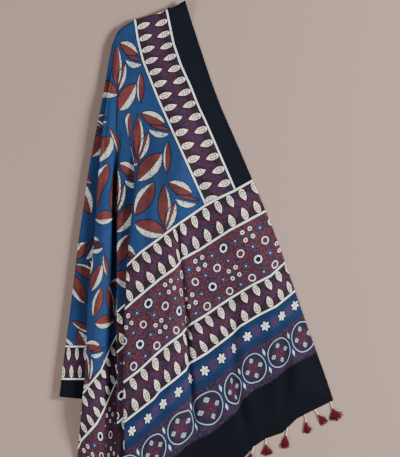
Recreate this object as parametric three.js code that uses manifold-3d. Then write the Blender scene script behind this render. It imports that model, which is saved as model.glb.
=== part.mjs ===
// A block-printed cotton shawl with yarn tassels, laid out on a flat surface.
// Millimetres, +Z up. The plan is seen from above: +X to the right, +Y towards the shoulder fold.
// The front of the cloth is a fan of pleats that starts at the shoulder fold. Its back half lies
// folded under it in three flat layers.
import * as THREE from 'three';
import Module from 'manifold-3d';

// Driving dimensions
const SHEET = 1.6;             // thickness of the cloth
const REST = SHEET / 2;        // height of the middle of a layer that lies on the surface
const UNDER_STEP = 3;          // from one hidden back layer to the next
const UNDER_LAYERS = 3;
const FRONT_LEVEL = 14;        // height of the front where it lies plain over the back layers
const PLEAT_FLOOR = 10;        // lowest layer of the pleats
const PLEAT_TURN = 3;          // radius of the hairpins in the pleats
const PLEAT_TURN_END = 1.7;    // the same at the hem, where the pleats flatten
const RIDGE_TUCK = 68;         // how far the top panel tucks under at its ridge
const INNER_TUCK = 64;         // how far the inner strip tucks under
const SECOND_TUCK = 12;        // how far the second panel tucks under at its ridge
const SECOND_TURN = 6;         // radius of the second panel's ridge
const SECOND_CREST = 5;        // how far the second panel bulges above its ridge
const PLATEAU = 95;            // width of the top panel that lies on the pleats
const STEP_WIDTH = 55;         // the slope that follows it
const NECK_MARGIN = 50;        // strip in which the panel comes down to the surface, at the free side
const HEM_MARGIN = 65;         // and at the hem
const LOOSE_TOP = 35;          // length of the shoulder edge, from the free side, that isn't folded
const SHOULDER_SAG = 7;        // how far the shoulder edge dips in its middle
const LOFT = 3;                // how far the top panel arches over the pleats
const THIRD_LOFT = 1.5;        // and the third panel
const LOOP_INSET = 6;          // how far the second panel's inner loop ends above the lower edge
const FOOT_FLAT = 4;           // flat stretch before the foot of the second panel

// Levels and radius of the pleats, in hairpin radii
const STRIP_LEVEL = 4;
const TOP_LEVEL = 9;
const RIDGE_ROUND = 1.5;

// Where along the cloth, as shares from the shoulder to the lower edge, each change begins and ends
const STAGES = {
  shoulder: { from: 0, to: 0.06 },
  pleats: { from: 0.18, to: 0.36 },
  ridgeTuck: { from: 0.28, to: 0.55 },
  innerTuck: { from: 0.3, to: 0.6 },
  second: { from: 0.02, to: 0.2 },
  secondRound: { from: 0.1, to: 0.5 },
  secondTuck: { from: 0.15, to: 0.5 },
  crest: { from: 0.15, to: 0.6 },
  hairpins: { from: 0.75, to: 1 },
  hemWave: { from: 0.8, to: 1 },
  flatten: { from: 0.85, to: 1 },
};
const SECOND_TURN_START = 2;   // radius of the second panel's ridge at the shoulder
const FLATTENED = 0.4;         // share of the second panel's roundness that is left at the hem
const PANEL_RISE = { from: 0.2, to: 0.55 };   // shares across the top panel where it climbs the pleats
const FLANK_RISE = { from: 0, to: 0.75 };     // shares across the second panel where it climbs

// Where the middle of the finished part's box lies in the plan
const MIDDLE = { x: 0.94, y: -85.39 };

// Each fold line's place in the plan, left (-) or right (+) of the middle, at several heights y.
const FOLD_LINES = [
  { y: 491, neck: -32, ridge: -142, inner: -151, foot: -163, second: -177, side: -189 },
  { y: 446, neck: -18, ridge: -140, inner: -151, foot: -163, second: -177, side: -189 },
  { y: 395, neck: -1, ridge: -138, inner: -155, foot: -170, second: -183, side: -189 },
  { y: 324, neck: 22, ridge: -137, inner: -163, foot: -175, second: -195, side: -202 },
  { y: 255, neck: 48, ridge: -137, inner: -170, foot: -177, second: -204, side: -214 },
  { y: 188, neck: 78, ridge: -137, inner: -175, foot: -180, second: -211, side: -228 },
  { y: 117, neck: 108, ridge: -138, inner: -178, foot: -182, second: -217, side: -241 },
  { y: 55, neck: 135, ridge: -143, inner: -178, foot: -184, second: -222, side: -249 },
  { y: -25, neck: 167, ridge: -151, inner: -178, foot: -187, second: -225, side: -261 },
  { y: -119, neck: 200, ridge: -158, inner: -178, foot: -191, second: -238, side: -272 },
  { y: -201, neck: 228, ridge: -161, inner: -178, foot: -194, second: -242, side: -282 },
  { y: -283, neck: 258, ridge: -163, inner: -178, foot: -198, second: -243, side: -293 },
  { y: -369, neck: 288, ridge: -163, inner: -178, foot: -199, second: -252, side: -303 },
  { y: -491, neck: 288, ridge: -161, inner: -177, foot: -200, second: -264, side: -303 },
  { y: -648, neck: 288, ridge: -155, inner: -170, foot: -203, second: -268, side: -303 },
];

// Heights y at which each fold line starts, at the shoulder, and ends, at the cloth's lower edge.
const LINE_ENDS = {
  neck: { top: 491, bottom: -371 },
  ridge: { top: 446, bottom: -648 },
  inner: { top: 440, bottom: -594 },
  foot: { top: 430, bottom: -556 },
  second: { top: 412, bottom: -508 },
  side: { top: 395, bottom: -362 },
};

// How far the hem stands in from a straight line, along the hem from the free side to the ridge.
const HEM_WAVE = [
  { along: 0, inwards: 0 },
  { along: 0.1, inwards: 6 },
  { along: 0.18, inwards: 10 },
  { along: 0.25, inwards: -1 },
  { along: 0.33, inwards: 9 },
  { along: 0.39, inwards: 8 },
  { along: 0.44, inwards: -3 },
  { along: 0.6, inwards: 6 },
  { along: 0.75, inwards: -3 },
  { along: 1, inwards: 0 },
];

// Soft creases of the top panel: a line in the plan, and how deep and wide the trough is. Each has
// a lower rim on its right, and fades in and out along its line.
const CREASE_RIM = 0.6;
const CREASE_RIM_AWAY = 2;
const CREASE_START = { from: -0.5, to: 0.3 };
const CREASE_END = { from: 0.9, to: 1.4 };
const CREASES = [
  { x1: 69, y1: -200, x2: 72, y2: -340, x3: 110, y3: -470, depth: 4, width: 16 },
  { x1: 178, y1: -210, x2: 181, y2: -310, x3: 186, y3: -430, depth: 3.5, width: 14 },
  { x1: 20, y1: 60, x2: 45, y2: -60, x3: 69, y3: -200, depth: 2.5, width: 22 },
];

// Far edge of the hidden back layers, from the free side to the left side fold.
const BACK_EDGE = [
  { x: 215, y: -325 },
  { x: 100, y: -395 },
  { x: -20, y: -440 },
  { x: -110, y: -425 },
  { x: -190, y: -380 },
  { x: -225, y: -352 },
  { x: -258, y: -345 },
];
const BACK_INSET = 8;          // the lower layers' turn, in from the shoulder and side fold
const BACK_HEM_INSET = 12;     // the last layer's hem, in from the turn above it

// How finely the folds are cut
const PANEL_STEPS = 15;
const TURN_STEPS = 3;
const FLANK_STEPS = 5;
const THIRD_STEPS = 3;
const ROWS = 22;
const BACK_COLUMNS = 30;
const BACK_STEPS = 2;
const ROLL_ANGLES = [50, 15, -20, -55, -90];
const BACK_TURN_ANGLES = [45, 0, -45, -90];

// Tassels on the hem: place along it, the direction that each lies in (degrees from straight down,
// + to the right), the length of its thread and of its tuft, and the degrees between the tuft's
// outer strands
const TASSELS = [
  { along: 0.015, turn: 22, thread: 15, tuft: 30, spread: 72 },
  { along: 0.093, turn: 38, thread: 14, tuft: 28, spread: 46 },
  { along: 0.14, turn: 10, thread: 16, tuft: 27, spread: 46 },
  { along: 0.225, turn: -10, thread: 17, tuft: 30, spread: 50 },
  { along: 0.332, turn: 5, thread: 12, tuft: 27, spread: 72 },
  { along: 0.39, turn: -18, thread: 15, tuft: 28, spread: 50 },
  { along: 0.475, turn: 8, thread: 16, tuft: 29, spread: 64 },
  { along: 0.56, turn: -12, thread: 14, tuft: 28, spread: 58 },
  { along: 0.64, turn: 15, thread: 16, tuft: 30, spread: 60 },
  { along: 0.725, turn: -6, thread: 15, tuft: 27, spread: 66 },
  { along: 0.8, turn: 10, thread: 17, tuft: 29, spread: 58 },
  { along: 0.885, turn: -10, thread: 18, tuft: 28, spread: 60 },
];
const TASSEL_GAP = 0.35;       // between a thread's end and the cloth
const THREAD_THICK = 2.4;
const THREAD_OVERLAP = 1.2;    // how far the thread reaches into the head
const THREAD_RISE = 0.6;       // share of the thread where it is halfway up to the head
const HEAD_LENGTH = 5;
const HEAD_THICK = 5;
const HEAD_TOP = 4;            // thickness of the head where the thread enters it
const STRAND_THICK = 3;
const STRAND_ROOT = 0.8;       // width of a strand's root, a share of its thickness
const STRAND_TIP = 1.4;
const STRAND_OVERLAP = 1.5;    // how far the first strand starts inside the head
const STRAND_STAGGER = 0.3;    // and each further one, more
const OUTER_SHORTER = 0.12;    // share by which the outer strands are shorter
const LAYERS = [
  { count: 5, spread: 1, level: 0.5, reach: 1 },
  { count: 4, spread: 0.6, level: 1.3, reach: 0.9 },
];

// Helpers
const mix = (a, b, share) => a + (b - a) * share;
const clamp = (value) => Math.min(1, Math.max(0, value));

function smooth(value, { from, to }) {
  const share = clamp((value - from) / (to - from));
  return share * share * (3 - 2 * share);
}

// Straight-line reading of a table, whose key column rises or falls from row to row.
function readTable(table, key, at, column) {
  const rising = table[1][key] > table[0][key];
  const order = rising ? table : [...table].reverse();
  if (at <= order[0][key]) {
    return order[0][column];
  }
  for (let i = 1; i < order.length; i += 1) {
    if (at <= order[i][key]) {
      const share = (at - order[i - 1][key]) / (order[i][key] - order[i - 1][key]);
      return mix(order[i - 1][column], order[i][column], share);
    }
  }
  return order[order.length - 1][column];
}

// The point of a fold line, a share t of the way from the shoulder to the lower edge.
function linePoint(name, t) {
  const y = mix(LINE_ENDS[name].top, LINE_ENDS[name].bottom, t);
  return { x: readTable(FOLD_LINES, 'y', y, name), y };
}

// Depth of the soft creases at a point of the top panel.
function creaseDepth(x, y) {
  let depth = 0;
  for (const crease of CREASES) {
    const upper = (y - crease.y1) / (crease.y2 - crease.y1);
    const lower = (y - crease.y2) / (crease.y3 - crease.y2);
    const lineX = lower > 0 ? mix(crease.x2, crease.x3, lower) : mix(crease.x1, crease.x2, upper);
    const away = (x - lineX) / crease.width;
    const fade = smooth(upper, CREASE_START) * (1 - smooth(lower, CREASE_END));
    const rim = CREASE_RIM * Math.exp(-((away - CREASE_RIM_AWAY) ** 2));
    depth += crease.depth * fade * (Math.exp(-away * away) - rim);
  }
  return depth;
}

// How far each group of pleats has opened, and its heights, a share t of the way down.
function pleatsAt(t) {
  const flatten = smooth(t, STAGES.flatten);
  const turn = mix(PLEAT_TURN, PLEAT_TURN_END, smooth(t, STAGES.hairpins));
  const floor = mix(PLEAT_FLOOR, REST, flatten);
  const roundness = mix(1, FLATTENED, flatten);
  return {
    turn,
    floor,
    ridgeTurn: RIDGE_ROUND * turn,
    top: floor + TOP_LEVEL * turn,
    open: smooth(t, STAGES.pleats),
    ridgeTuck: RIDGE_TUCK * smooth(t, STAGES.ridgeTuck) + 2 * turn,
    innerTuck: INNER_TUCK * smooth(t, STAGES.innerTuck) + 2 * turn,
    secondOpen: smooth(t, STAGES.second),
    secondTurn: mix(SECOND_TURN_START, SECOND_TURN, smooth(t, STAGES.secondRound)) * roundness,
    secondTuck: SECOND_TUCK * smooth(t, STAGES.secondTuck) + 2 * turn,
    secondUnder: mix(FRONT_LEVEL + 2 * turn, REST, flatten),
    crest: SECOND_CREST * smooth(t, STAGES.crest) * roundness,
  };
}

// Height of the top panel's middle surface.
function panelHeight(x, y, t, along, pleats) {
  const ridge = linePoint('ridge', t);
  const neck = linePoint('neck', t);
  const pleatHeight = mix(FRONT_LEVEL, pleats.top, pleats.open);
  const fromRidge = x - ridge.x;
  const onPleats = 1 - smooth(fromRidge, { from: PLATEAU, to: PLATEAU + STEP_WIDTH });
  const loft = LOFT * Math.sin(Math.PI * clamp(fromRidge / PLATEAU)) * pleats.open;
  const hemAway = (1 - t) * (LINE_ENDS.neck.top - LINE_ENDS.neck.bottom);
  const margin = Math.min((neck.x - x) / NECK_MARGIN, mix(hemAway / HEM_MARGIN, 1, onPleats));
  const shoulder = 1 - smooth(t, STAGES.shoulder);
  const raised = Math.max(smooth(margin, { from: 0, to: 1 }), shoulder);
  const plain = mix(REST, FRONT_LEVEL - creaseDepth(x, y), raised);
  return mix(plain, pleatHeight + loft, onPleats * smooth(along, PANEL_RISE));
}

// Points of a hairpin seen along the fold: centre, radius, and the first and last angle in degrees.
function turnPoints(x, z, radius, first, last) {
  const points = [];
  for (let i = 0; i <= TURN_STEPS; i += 1) {
    const angle = THREE.MathUtils.degToRad(mix(first, last, i / TURN_STEPS));
    points.push({ x: x + radius * Math.cos(angle), z: z + radius * Math.sin(angle) });
  }
  return points;
}

// One group of folded points, from its open shape to the plain, flat one.
function blendGroup(folded, from, to, open) {
  return folded.map((point, i) => {
    const share = (i + 1) / folded.length;
    return new THREE.Vector3(
      mix(mix(from.x, to.x, share), point.x, open),
      point.y === undefined ? mix(from.y, to.y, share) : mix(mix(from.y, to.y, share), point.y, open),
      mix(FRONT_LEVEL, point.z, open),
    );
  });
}

// The front of the cloth across its fan of pleats, a share t of the way down.
function frontRow(t) {
  const neck = linePoint('neck', t);
  const ridge = linePoint('ridge', t);
  const inner = linePoint('inner', t);
  const foot = linePoint('foot', t);
  const second = linePoint('second', t);
  const side = linePoint('side', t);
  const pleats = pleatsAt(t);
  const { turn, ridgeTurn, secondTurn } = pleats;
  const row = [];

  // the top panel, from the free side to its ridge
  const panelEnd = ridge.x + ridgeTurn * pleats.open;
  for (let i = 0; i <= PANEL_STEPS; i += 1) {
    const along = i / PANEL_STEPS;
    const x = mix(neck.x, panelEnd, along);
    const wave = readTable(HEM_WAVE, 'along', along, 'inwards') * smooth(t, STAGES.hemWave);
    const sag = SHOULDER_SAG * Math.sin(Math.PI * along) * (1 - smooth(t, STAGES.shoulder));
    const y = mix(neck.y, ridge.y, along) + wave - sag;
    row.push(new THREE.Vector3(x, y, panelHeight(x, y, t, along, pleats)));
  }

  // under the ridge and back to the inner strip
  const stripTop = pleats.floor + STRIP_LEVEL * turn;
  const stripStart = { x: mix(inner.x, ridge.x, 0.3), y: inner.y };
  const ridgeFold = [
    ...turnPoints(ridge.x + ridgeTurn, pleats.top - ridgeTurn, ridgeTurn, 90, 270).slice(1),
    ...turnPoints(ridge.x + pleats.ridgeTuck - turn, stripTop + turn, turn, 90, -90),
    { x: mix(inner.x, ridge.x, 0.5), z: stripTop },
  ];
  row.push(...blendGroup(ridgeFold, ridge, stripStart, pleats.open));

  // under the inner strip and out to the foot of the second panel
  const innerFold = [
    ...turnPoints(inner.x + turn, stripTop - turn, turn, 90, 270),
    ...turnPoints(inner.x + pleats.innerTuck - turn, pleats.floor + turn, turn, 90, -90),
    { x: foot.x + FOOT_FLAT, z: pleats.floor },
  ];
  row.push(...blendGroup(innerFold, stripStart, foot, pleats.open));

  // up the second panel's flank, over its crest and round its ridge
  const secondTop = pleats.secondUnder + 2 * secondTurn;
  const flank = [];
  for (let i = 1; i <= FLANK_STEPS; i += 1) {
    const share = i / FLANK_STEPS;
    const rise = smooth(share, FLANK_RISE);
    const bulge = pleats.crest * Math.sin(Math.PI * share);
    flank.push({
      x: mix(foot.x, second.x + secondTurn, share),
      z: mix(pleats.floor, secondTop, rise) + bulge,
    });
  }
  const nearSecond = { x: mix(foot.x, second.x, 0.7), y: mix(foot.y, second.y, 0.7) };
  row.push(...blendGroup(flank, foot, nearSecond, Math.max(pleats.open, pleats.secondOpen * 0.6)));
  const loopX = readTable(FOLD_LINES, 'y', side.y, 'second') + pleats.secondTuck - turn;
  const secondFold = [
    ...turnPoints(second.x + secondTurn, secondTop - secondTurn, secondTurn, 90, 270).slice(1)
      .map((point) => ({ ...point, y: second.y })),
    ...turnPoints(loopX, FRONT_LEVEL + turn, turn, 90, -90)
      .map((point) => ({ ...point, y: side.y - LOOP_INSET })),
  ];
  const nearSide = { x: mix(second.x, side.x, 0.3), y: mix(second.y, side.y, 0.8) };
  row.push(...blendGroup(secondFold, nearSecond, nearSide, pleats.secondOpen));

  // the third panel, to the side fold
  const sideEdge = side.x + (FRONT_LEVEL - backLevel(0)) / 2;
  const thirdStart = row[row.length - 1];
  for (let i = 1; i <= THIRD_STEPS; i += 1) {
    const share = i / THIRD_STEPS;
    const z = FRONT_LEVEL + THIRD_LOFT * Math.sin(Math.PI * share) * pleats.secondOpen;
    row.push(new THREE.Vector3(mix(thirdStart.x, sideEdge, share), mix(thirdStart.y, side.y, share), z));
  }
  return row;
}

// Height of a hidden back layer, 0 for the uppermost.
function backLevel(layer) {
  return REST + (UNDER_LAYERS - 1 - layer) * UNDER_STEP;
}

// A line of points, resampled to count points at equal steps.
function resample(points, count) {
  const path = new THREE.CurvePath();
  for (let i = 1; i < points.length; i += 1) {
    path.add(new THREE.LineCurve3(points[i - 1], points[i]));
  }
  return Array.from({ length: count }, (_, i) => path.getPointAt(i / (count - 1)));
}

// The hidden back layers behind one point of the shoulder and side fold.
function backColumn(fold, outwards, edge) {
  const column = [];
  const roll = (fold.z - backLevel(0)) / 2;
  for (const angle of ROLL_ANGLES) {
    const radians = THREE.MathUtils.degToRad(angle);
    const point = fold.clone().addScaledVector(outwards, roll * Math.cos(radians));
    point.z = backLevel(0) + roll + roll * Math.sin(radians);
    column.push(point);
  }
  const flatFold = new THREE.Vector3(fold.x, fold.y, 0);
  const inwards = edge.clone().sub(flatFold).normalize();
  const nearTurn = flatFold.clone().addScaledVector(inwards, BACK_INSET);
  const runs = [
    { from: flatFold, to: edge },
    { from: edge, to: nearTurn },
    { from: nearTurn, to: edge.clone().addScaledVector(inwards, -BACK_HEM_INSET) },
  ];
  const radius = UNDER_STEP / 2;
  runs.forEach((run, layer) => {
    const heading = run.to.clone().sub(run.from).normalize();
    const last = layer === UNDER_LAYERS - 1;
    const end = run.to.clone().addScaledVector(heading, last ? 0 : -radius);
    const start = run.from.clone().addScaledVector(heading, layer === 0 ? 0 : radius);
    for (let i = 1; i <= BACK_STEPS; i += 1) {
      const point = start.clone().lerp(end, i / BACK_STEPS);
      point.z = backLevel(layer);
      column.push(point);
    }
    if (!last) {
      for (const angle of BACK_TURN_ANGLES) {
        const radians = THREE.MathUtils.degToRad(angle);
        const point = end.clone().addScaledVector(heading, radius * Math.cos(radians));
        point.z = backLevel(layer) - radius + radius * Math.sin(radians);
        column.push(point);
      }
    }
  });
  return column;
}

// A surface of triangles, to which grids and seams are added.
class Surface {
  constructor() {
    this.points = [];
    this.triangles = [];
  }

  addPoint(point) {
    this.points.push(point);
    return this.points.length - 1;
  }

  addGrid(rows) {
    for (let j = 1; j < rows.length; j += 1) {
      for (let i = 1; i < rows[j].length; i += 1) {
        const [a, b, c, d] = [rows[j - 1][i - 1], rows[j - 1][i], rows[j][i], rows[j][i - 1]];
        this.triangles.push([a, b, c], [a, c, d]);
      }
    }
  }

  // How far along a line of points each one lies, from 0 to 1.
  shares(line) {
    const lengths = [0];
    for (let i = 1; i < line.length; i += 1) {
      const step = this.points[line[i]].distanceTo(this.points[line[i - 1]]);
      lengths.push(lengths[i - 1] + step);
    }
    return lengths.map((length) => length / lengths[lengths.length - 1]);
  }

  // Joins two lines of points that run the same way but have different steps.
  addSeam(upper, lower) {
    const upperShares = this.shares(upper);
    const lowerShares = this.shares(lower);
    let i = 0;
    let j = 0;
    while (i < upper.length - 1 || j < lower.length - 1) {
      const lowerDone = j === lower.length - 1;
      if (lowerDone || (i < upper.length - 1 && upperShares[i + 1] <= lowerShares[j + 1])) {
        this.triangles.push([upper[i + 1], upper[i], lower[j]]);
        i += 1;
      } else {
        this.triangles.push([upper[i], lower[j], lower[j + 1]]);
        j += 1;
      }
    }
  }

  // The closed solid that has this surface in its middle.
  thicken(thickness) {
    const middle = new THREE.BufferGeometry().setFromPoints(this.points);
    middle.setIndex(this.triangles.flat());
    middle.computeVertexNormals();
    const normals = middle.getAttribute('normal');
    const count = this.points.length;
    const skins = [];
    for (const sideways of [thickness / 2, -thickness / 2]) {
      this.points.forEach((point, i) => {
        const normal = new THREE.Vector3().fromBufferAttribute(normals, i);
        skins.push(point.clone().addScaledVector(normal, sideways));
      });
    }
    const index = [];
    const edges = new Map();
    for (const [a, b, c] of this.triangles) {
      index.push(a, b, c, a + count, c + count, b + count);
      for (const [from, to] of [[a, b], [b, c], [c, a]]) {
        edges.set(`${from},${to}`, [from, to]);
      }
    }
    for (const [from, to] of edges.values()) {
      if (!edges.has(`${to},${from}`)) {
        index.push(to, from, from + count, to, from + count, to + count);
      }
    }
    const geometry = new THREE.BufferGeometry().setFromPoints(skins);
    geometry.setIndex(index);
    return geometry;
  }
}

// The whole cloth: the front, the shoulder and side fold, and the hidden back layers.
function clothGeometry() {
  const surface = new Surface();
  const rows = [];
  for (let j = 0; j <= ROWS; j += 1) {
    rows.push(frontRow(j / ROWS).map((point) => surface.addPoint(point)));
  }
  surface.addGrid(rows);

  const topRow = rows[0];
  const neckTop = surface.points[topRow[0]];
  const firstFolded = topRow.findIndex((i) => surface.points[i].distanceTo(neckTop) > LOOSE_TOP);
  const foldLine = [
    ...topRow.slice(firstFolded),
    ...rows.slice(1).map((row) => row[row.length - 1]),
  ];
  const folds = resample(foldLine.map((i) => surface.points[i]), BACK_COLUMNS);
  const edges = resample(BACK_EDGE.map(({ x, y }) => new THREE.Vector3(x, y, 0)), BACK_COLUMNS);
  const columns = folds.map((fold, i) => {
    const before = folds[Math.max(i - 1, 0)];
    const after = folds[Math.min(i + 1, folds.length - 1)];
    const outwards = new THREE.Vector3(after.y - before.y, before.x - after.x, 0).normalize();
    return backColumn(fold, outwards, edges[i]).map((point) => surface.addPoint(point));
  });
  const backRows = columns[0].map((_, j) => columns.map((column) => column[j]));
  surface.addSeam(foldLine, backRows[0]);
  surface.addGrid([...backRows].reverse());
  return { geometry: surface.thicken(SHEET), hem: rows[ROWS].map((i) => surface.points[i]) };
}

// Tassels

// A tapering bar of square section along a line of points, its base level.
function barGeometry(points, widths, heights) {
  const corners = [];
  points.forEach((point, i) => {
    const before = points[Math.max(i - 1, 0)];
    const after = points[Math.min(i + 1, points.length - 1)];
    const sideways = new THREE.Vector3(before.y - after.y, after.x - before.x, 0).normalize();
    for (const [left, up] of [[-1, -1], [1, -1], [1, 1], [-1, 1]]) {
      const corner = point.clone().addScaledVector(sideways, left * widths[i] / 2);
      corner.z += up * heights[i] / 2;
      corners.push(corner);
    }
  });
  const index = [0, 2, 1, 0, 3, 2];
  for (let i = 1; i < points.length; i += 1) {
    for (let side = 0; side < 4; side += 1) {
      const a = 4 * (i - 1) + side;
      const b = 4 * (i - 1) + ((side + 1) % 4);
      index.push(a, b + 4, a + 4, a, b, b + 4);
    }
  }
  const last = 4 * (points.length - 1);
  index.push(last, last + 1, last + 2, last, last + 2, last + 3);
  const geometry = new THREE.BufferGeometry().setFromPoints(corners);
  geometry.setIndex(index);
  return geometry;
}

function toManifold(wasm, geometry) {
  const mesh = new wasm.Mesh({
    numProp: 3,
    vertProperties: new Float32Array(geometry.getAttribute('position').array),
    triVerts: new Uint32Array(geometry.getIndex().array),
  });
  return new wasm.Manifold(mesh);
}

function fromManifold(solid) {
  const mesh = solid.getMesh();
  const geometry = new THREE.BufferGeometry();
  geometry.setAttribute('position', new THREE.BufferAttribute(mesh.vertProperties, 3));
  geometry.setIndex(new THREE.BufferAttribute(mesh.triVerts, 1));
  return geometry;
}

// A direction on the surface, in degrees from straight down the plan, + to the right.
function tasselHeading(degrees) {
  const turn = THREE.MathUtils.degToRad(degrees);
  return new THREE.Vector3(Math.sin(turn), -Math.cos(turn), 0);
}

// A thread, a bound head and a tuft of strands that lie level on the surface, in one solid.
function tasselGeometry(wasm, root, row) {
  const ahead = tasselHeading(row.turn);
  const at = (distance, z) => {
    const point = root.clone().addScaledVector(ahead, distance);
    point.z = z;
    return point;
  };
  const threadZ = Math.max(root.z, THREAD_THICK / 2);
  const headZ = HEAD_THICK / 2;
  const headStart = row.thread;
  const headEnd = headStart + HEAD_LENGTH;
  const threadSizes = [THREAD_THICK, THREAD_THICK, THREAD_THICK];
  const threadPoints = [
    at(0, threadZ),
    at(headStart * THREAD_RISE, mix(threadZ, headZ, 0.5)),
    at(headStart + THREAD_OVERLAP, headZ),
  ];
  const headSizes = [HEAD_TOP, HEAD_THICK];
  const pieces = [
    barGeometry(threadPoints, threadSizes, threadSizes),
    barGeometry([at(headStart, headZ), at(headEnd, headZ)], headSizes, headSizes),
  ];
  for (const layer of LAYERS) {
    const z = STRAND_THICK * layer.level;
    for (let i = 0; i < layer.count; i += 1) {
      const share = i / (layer.count - 1) - 0.5;
      const heading = tasselHeading(row.turn + row.spread * layer.spread * share);
      const start = at(headEnd - STRAND_OVERLAP - STRAND_STAGGER * i, z);
      const shorter = OUTER_SHORTER * Math.abs(share * 2);
      const reach = (row.tuft - HEAD_LENGTH) * layer.reach * (1 - shorter);
      const middle = start.clone().addScaledVector(heading, reach * 0.5);
      const tip = start.clone().addScaledVector(heading, reach);
      tip.z = z - (STRAND_THICK - STRAND_TIP) / 2;
      pieces.push(barGeometry(
        [start, middle, tip],
        [STRAND_THICK * STRAND_ROOT, STRAND_THICK, STRAND_TIP],
        [STRAND_THICK, STRAND_THICK, STRAND_TIP],
      ));
    }
  }
  let solid = toManifold(wasm, pieces[0]);
  for (const piece of pieces.slice(1)) {
    solid = solid.add(toManifold(wasm, piece));
  }
  return fromManifold(solid);
}

// Where a tassel's thread starts: a share of the way along the hem, just clear of the cloth.
function hemPoint(hem, row) {
  const place = row.along * PANEL_STEPS;
  const i = Math.min(Math.floor(place), PANEL_STEPS - 1);
  const point = hem[i].clone().lerp(hem[i + 1], place - i);
  const outwards = new THREE.Vector3(hem[i].y - hem[i + 1].y, hem[i + 1].x - hem[i].x, 0).normalize();
  const slant = Math.abs(outwards.clone().cross(tasselHeading(row.turn)).z);
  return point.addScaledVector(outwards, TASSEL_GAP + (slant * THREAD_THICK) / 2);
}

// The part
const wasm = await Module();
wasm.setup();
const shawl = new THREE.Group();
shawl.position.set(-MIDDLE.x, -MIDDLE.y, 0);

const clothMaterial = new THREE.MeshStandardMaterial({ color: 0x2a4468, roughness: 0.9, metalness: 0 });
const { geometry, hem } = clothGeometry();
const cloth = new THREE.Mesh(geometry, clothMaterial);
cloth.name = 'cloth';
shawl.add(cloth);

TASSELS.forEach((row, i) => {
  const root = hemPoint(hem, row);
  const yarn = new THREE.MeshStandardMaterial({ color: 0x650c26, roughness: 0.85, metalness: 0 });
  const tassel = new THREE.Mesh(tasselGeometry(wasm, root, row), yarn);
  tassel.name = `tassel_${String(i + 1).padStart(2, '0')}`;
  shawl.add(tassel);
});

export default shawl;
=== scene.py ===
import functools
import math
import random

import bpy
import numpy as np
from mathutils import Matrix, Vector


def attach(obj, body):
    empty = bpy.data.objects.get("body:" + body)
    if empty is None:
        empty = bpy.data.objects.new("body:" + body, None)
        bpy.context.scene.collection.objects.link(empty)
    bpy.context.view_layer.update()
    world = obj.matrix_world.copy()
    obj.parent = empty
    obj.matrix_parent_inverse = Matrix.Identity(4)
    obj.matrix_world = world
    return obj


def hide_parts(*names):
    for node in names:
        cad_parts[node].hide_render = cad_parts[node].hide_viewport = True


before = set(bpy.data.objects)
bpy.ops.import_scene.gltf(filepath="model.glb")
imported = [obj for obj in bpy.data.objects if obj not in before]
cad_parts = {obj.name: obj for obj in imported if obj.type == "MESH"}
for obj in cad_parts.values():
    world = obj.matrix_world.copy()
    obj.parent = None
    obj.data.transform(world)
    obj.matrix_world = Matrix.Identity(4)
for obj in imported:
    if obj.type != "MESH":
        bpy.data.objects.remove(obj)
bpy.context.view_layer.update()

# A block-printed cotton shawl with yarn tassels, laid out on a pale floor and seen from above.
# The folds repeat the CAD model's formulas, in millimetres, with finer steps. MM turns them to metres.
MM = 0.001


def table(names, rows):
    """Rows of values under their columns' names. A short row leaves its last columns out."""
    return [dict(zip(names.split(), row)) for row in rows]


# The photograph's frame on the floor: its size in pixels, one pixel in mm, and the middle of the
# part's box in the plan whose origin is the frame's middle, in mm
PHOTO_WIDTH = 400
PHOTO_HEIGHT = 457
PIXEL = 2.15
MIDDLE = (0.94, -85.39)

# Folds, as in the CAD model
SHEET = 1.6
THICKNESS = 1.1  # of the cloth here, inside the thicker CAD sheet
REST = SHEET / 2
UNDER_STEP = 3
UNDER_LAYERS = 3
FRONT_LEVEL = 14
PLEAT_FLOOR = 10
PLEAT_TURN = 3
PLEAT_TURN_END = 1.7
RIDGE_TUCK = 68
INNER_TUCK = 64
SECOND_TUCK = 12
SECOND_TURN = 6
SECOND_TURN_START = 2
SECOND_CREST = 5
FLATTENED = 0.4
PLATEAU = 95
STEP_WIDTH = 55
NECK_MARGIN = 50
HEM_MARGIN = 65
LOOSE_TOP = 35
SHOULDER_SAG = 7
LOFT = 3
THIRD_LOFT = 1.5
LOOP_INSET = 6
FOOT_FLAT = 4
STRIP_LEVEL = 4  # heights of the strip and the top panel, in turns of a pleat
TOP_LEVEL = 9
RIDGE_ROUND = 1.5  # roundness of the ridge, also in turns
PANEL_RISE = (0.2, 0.55)
FLANK_RISE = (0, 0.75)
# Shares of the way down between which each fold grows
STAGES = {
    "shoulder": (0, 0.06),
    "pleats": (0.18, 0.36),
    "ridge_tuck": (0.28, 0.55),
    "inner_tuck": (0.3, 0.6),
    "second": (0.02, 0.2),
    "second_round": (0.1, 0.5),
    "second_tuck": (0.15, 0.5),
    "crest": (0.15, 0.6),
    "hairpins": (0.75, 1),
    "hem_wave": (0.8, 1),
    "flatten": (0.85, 1),
}
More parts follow.
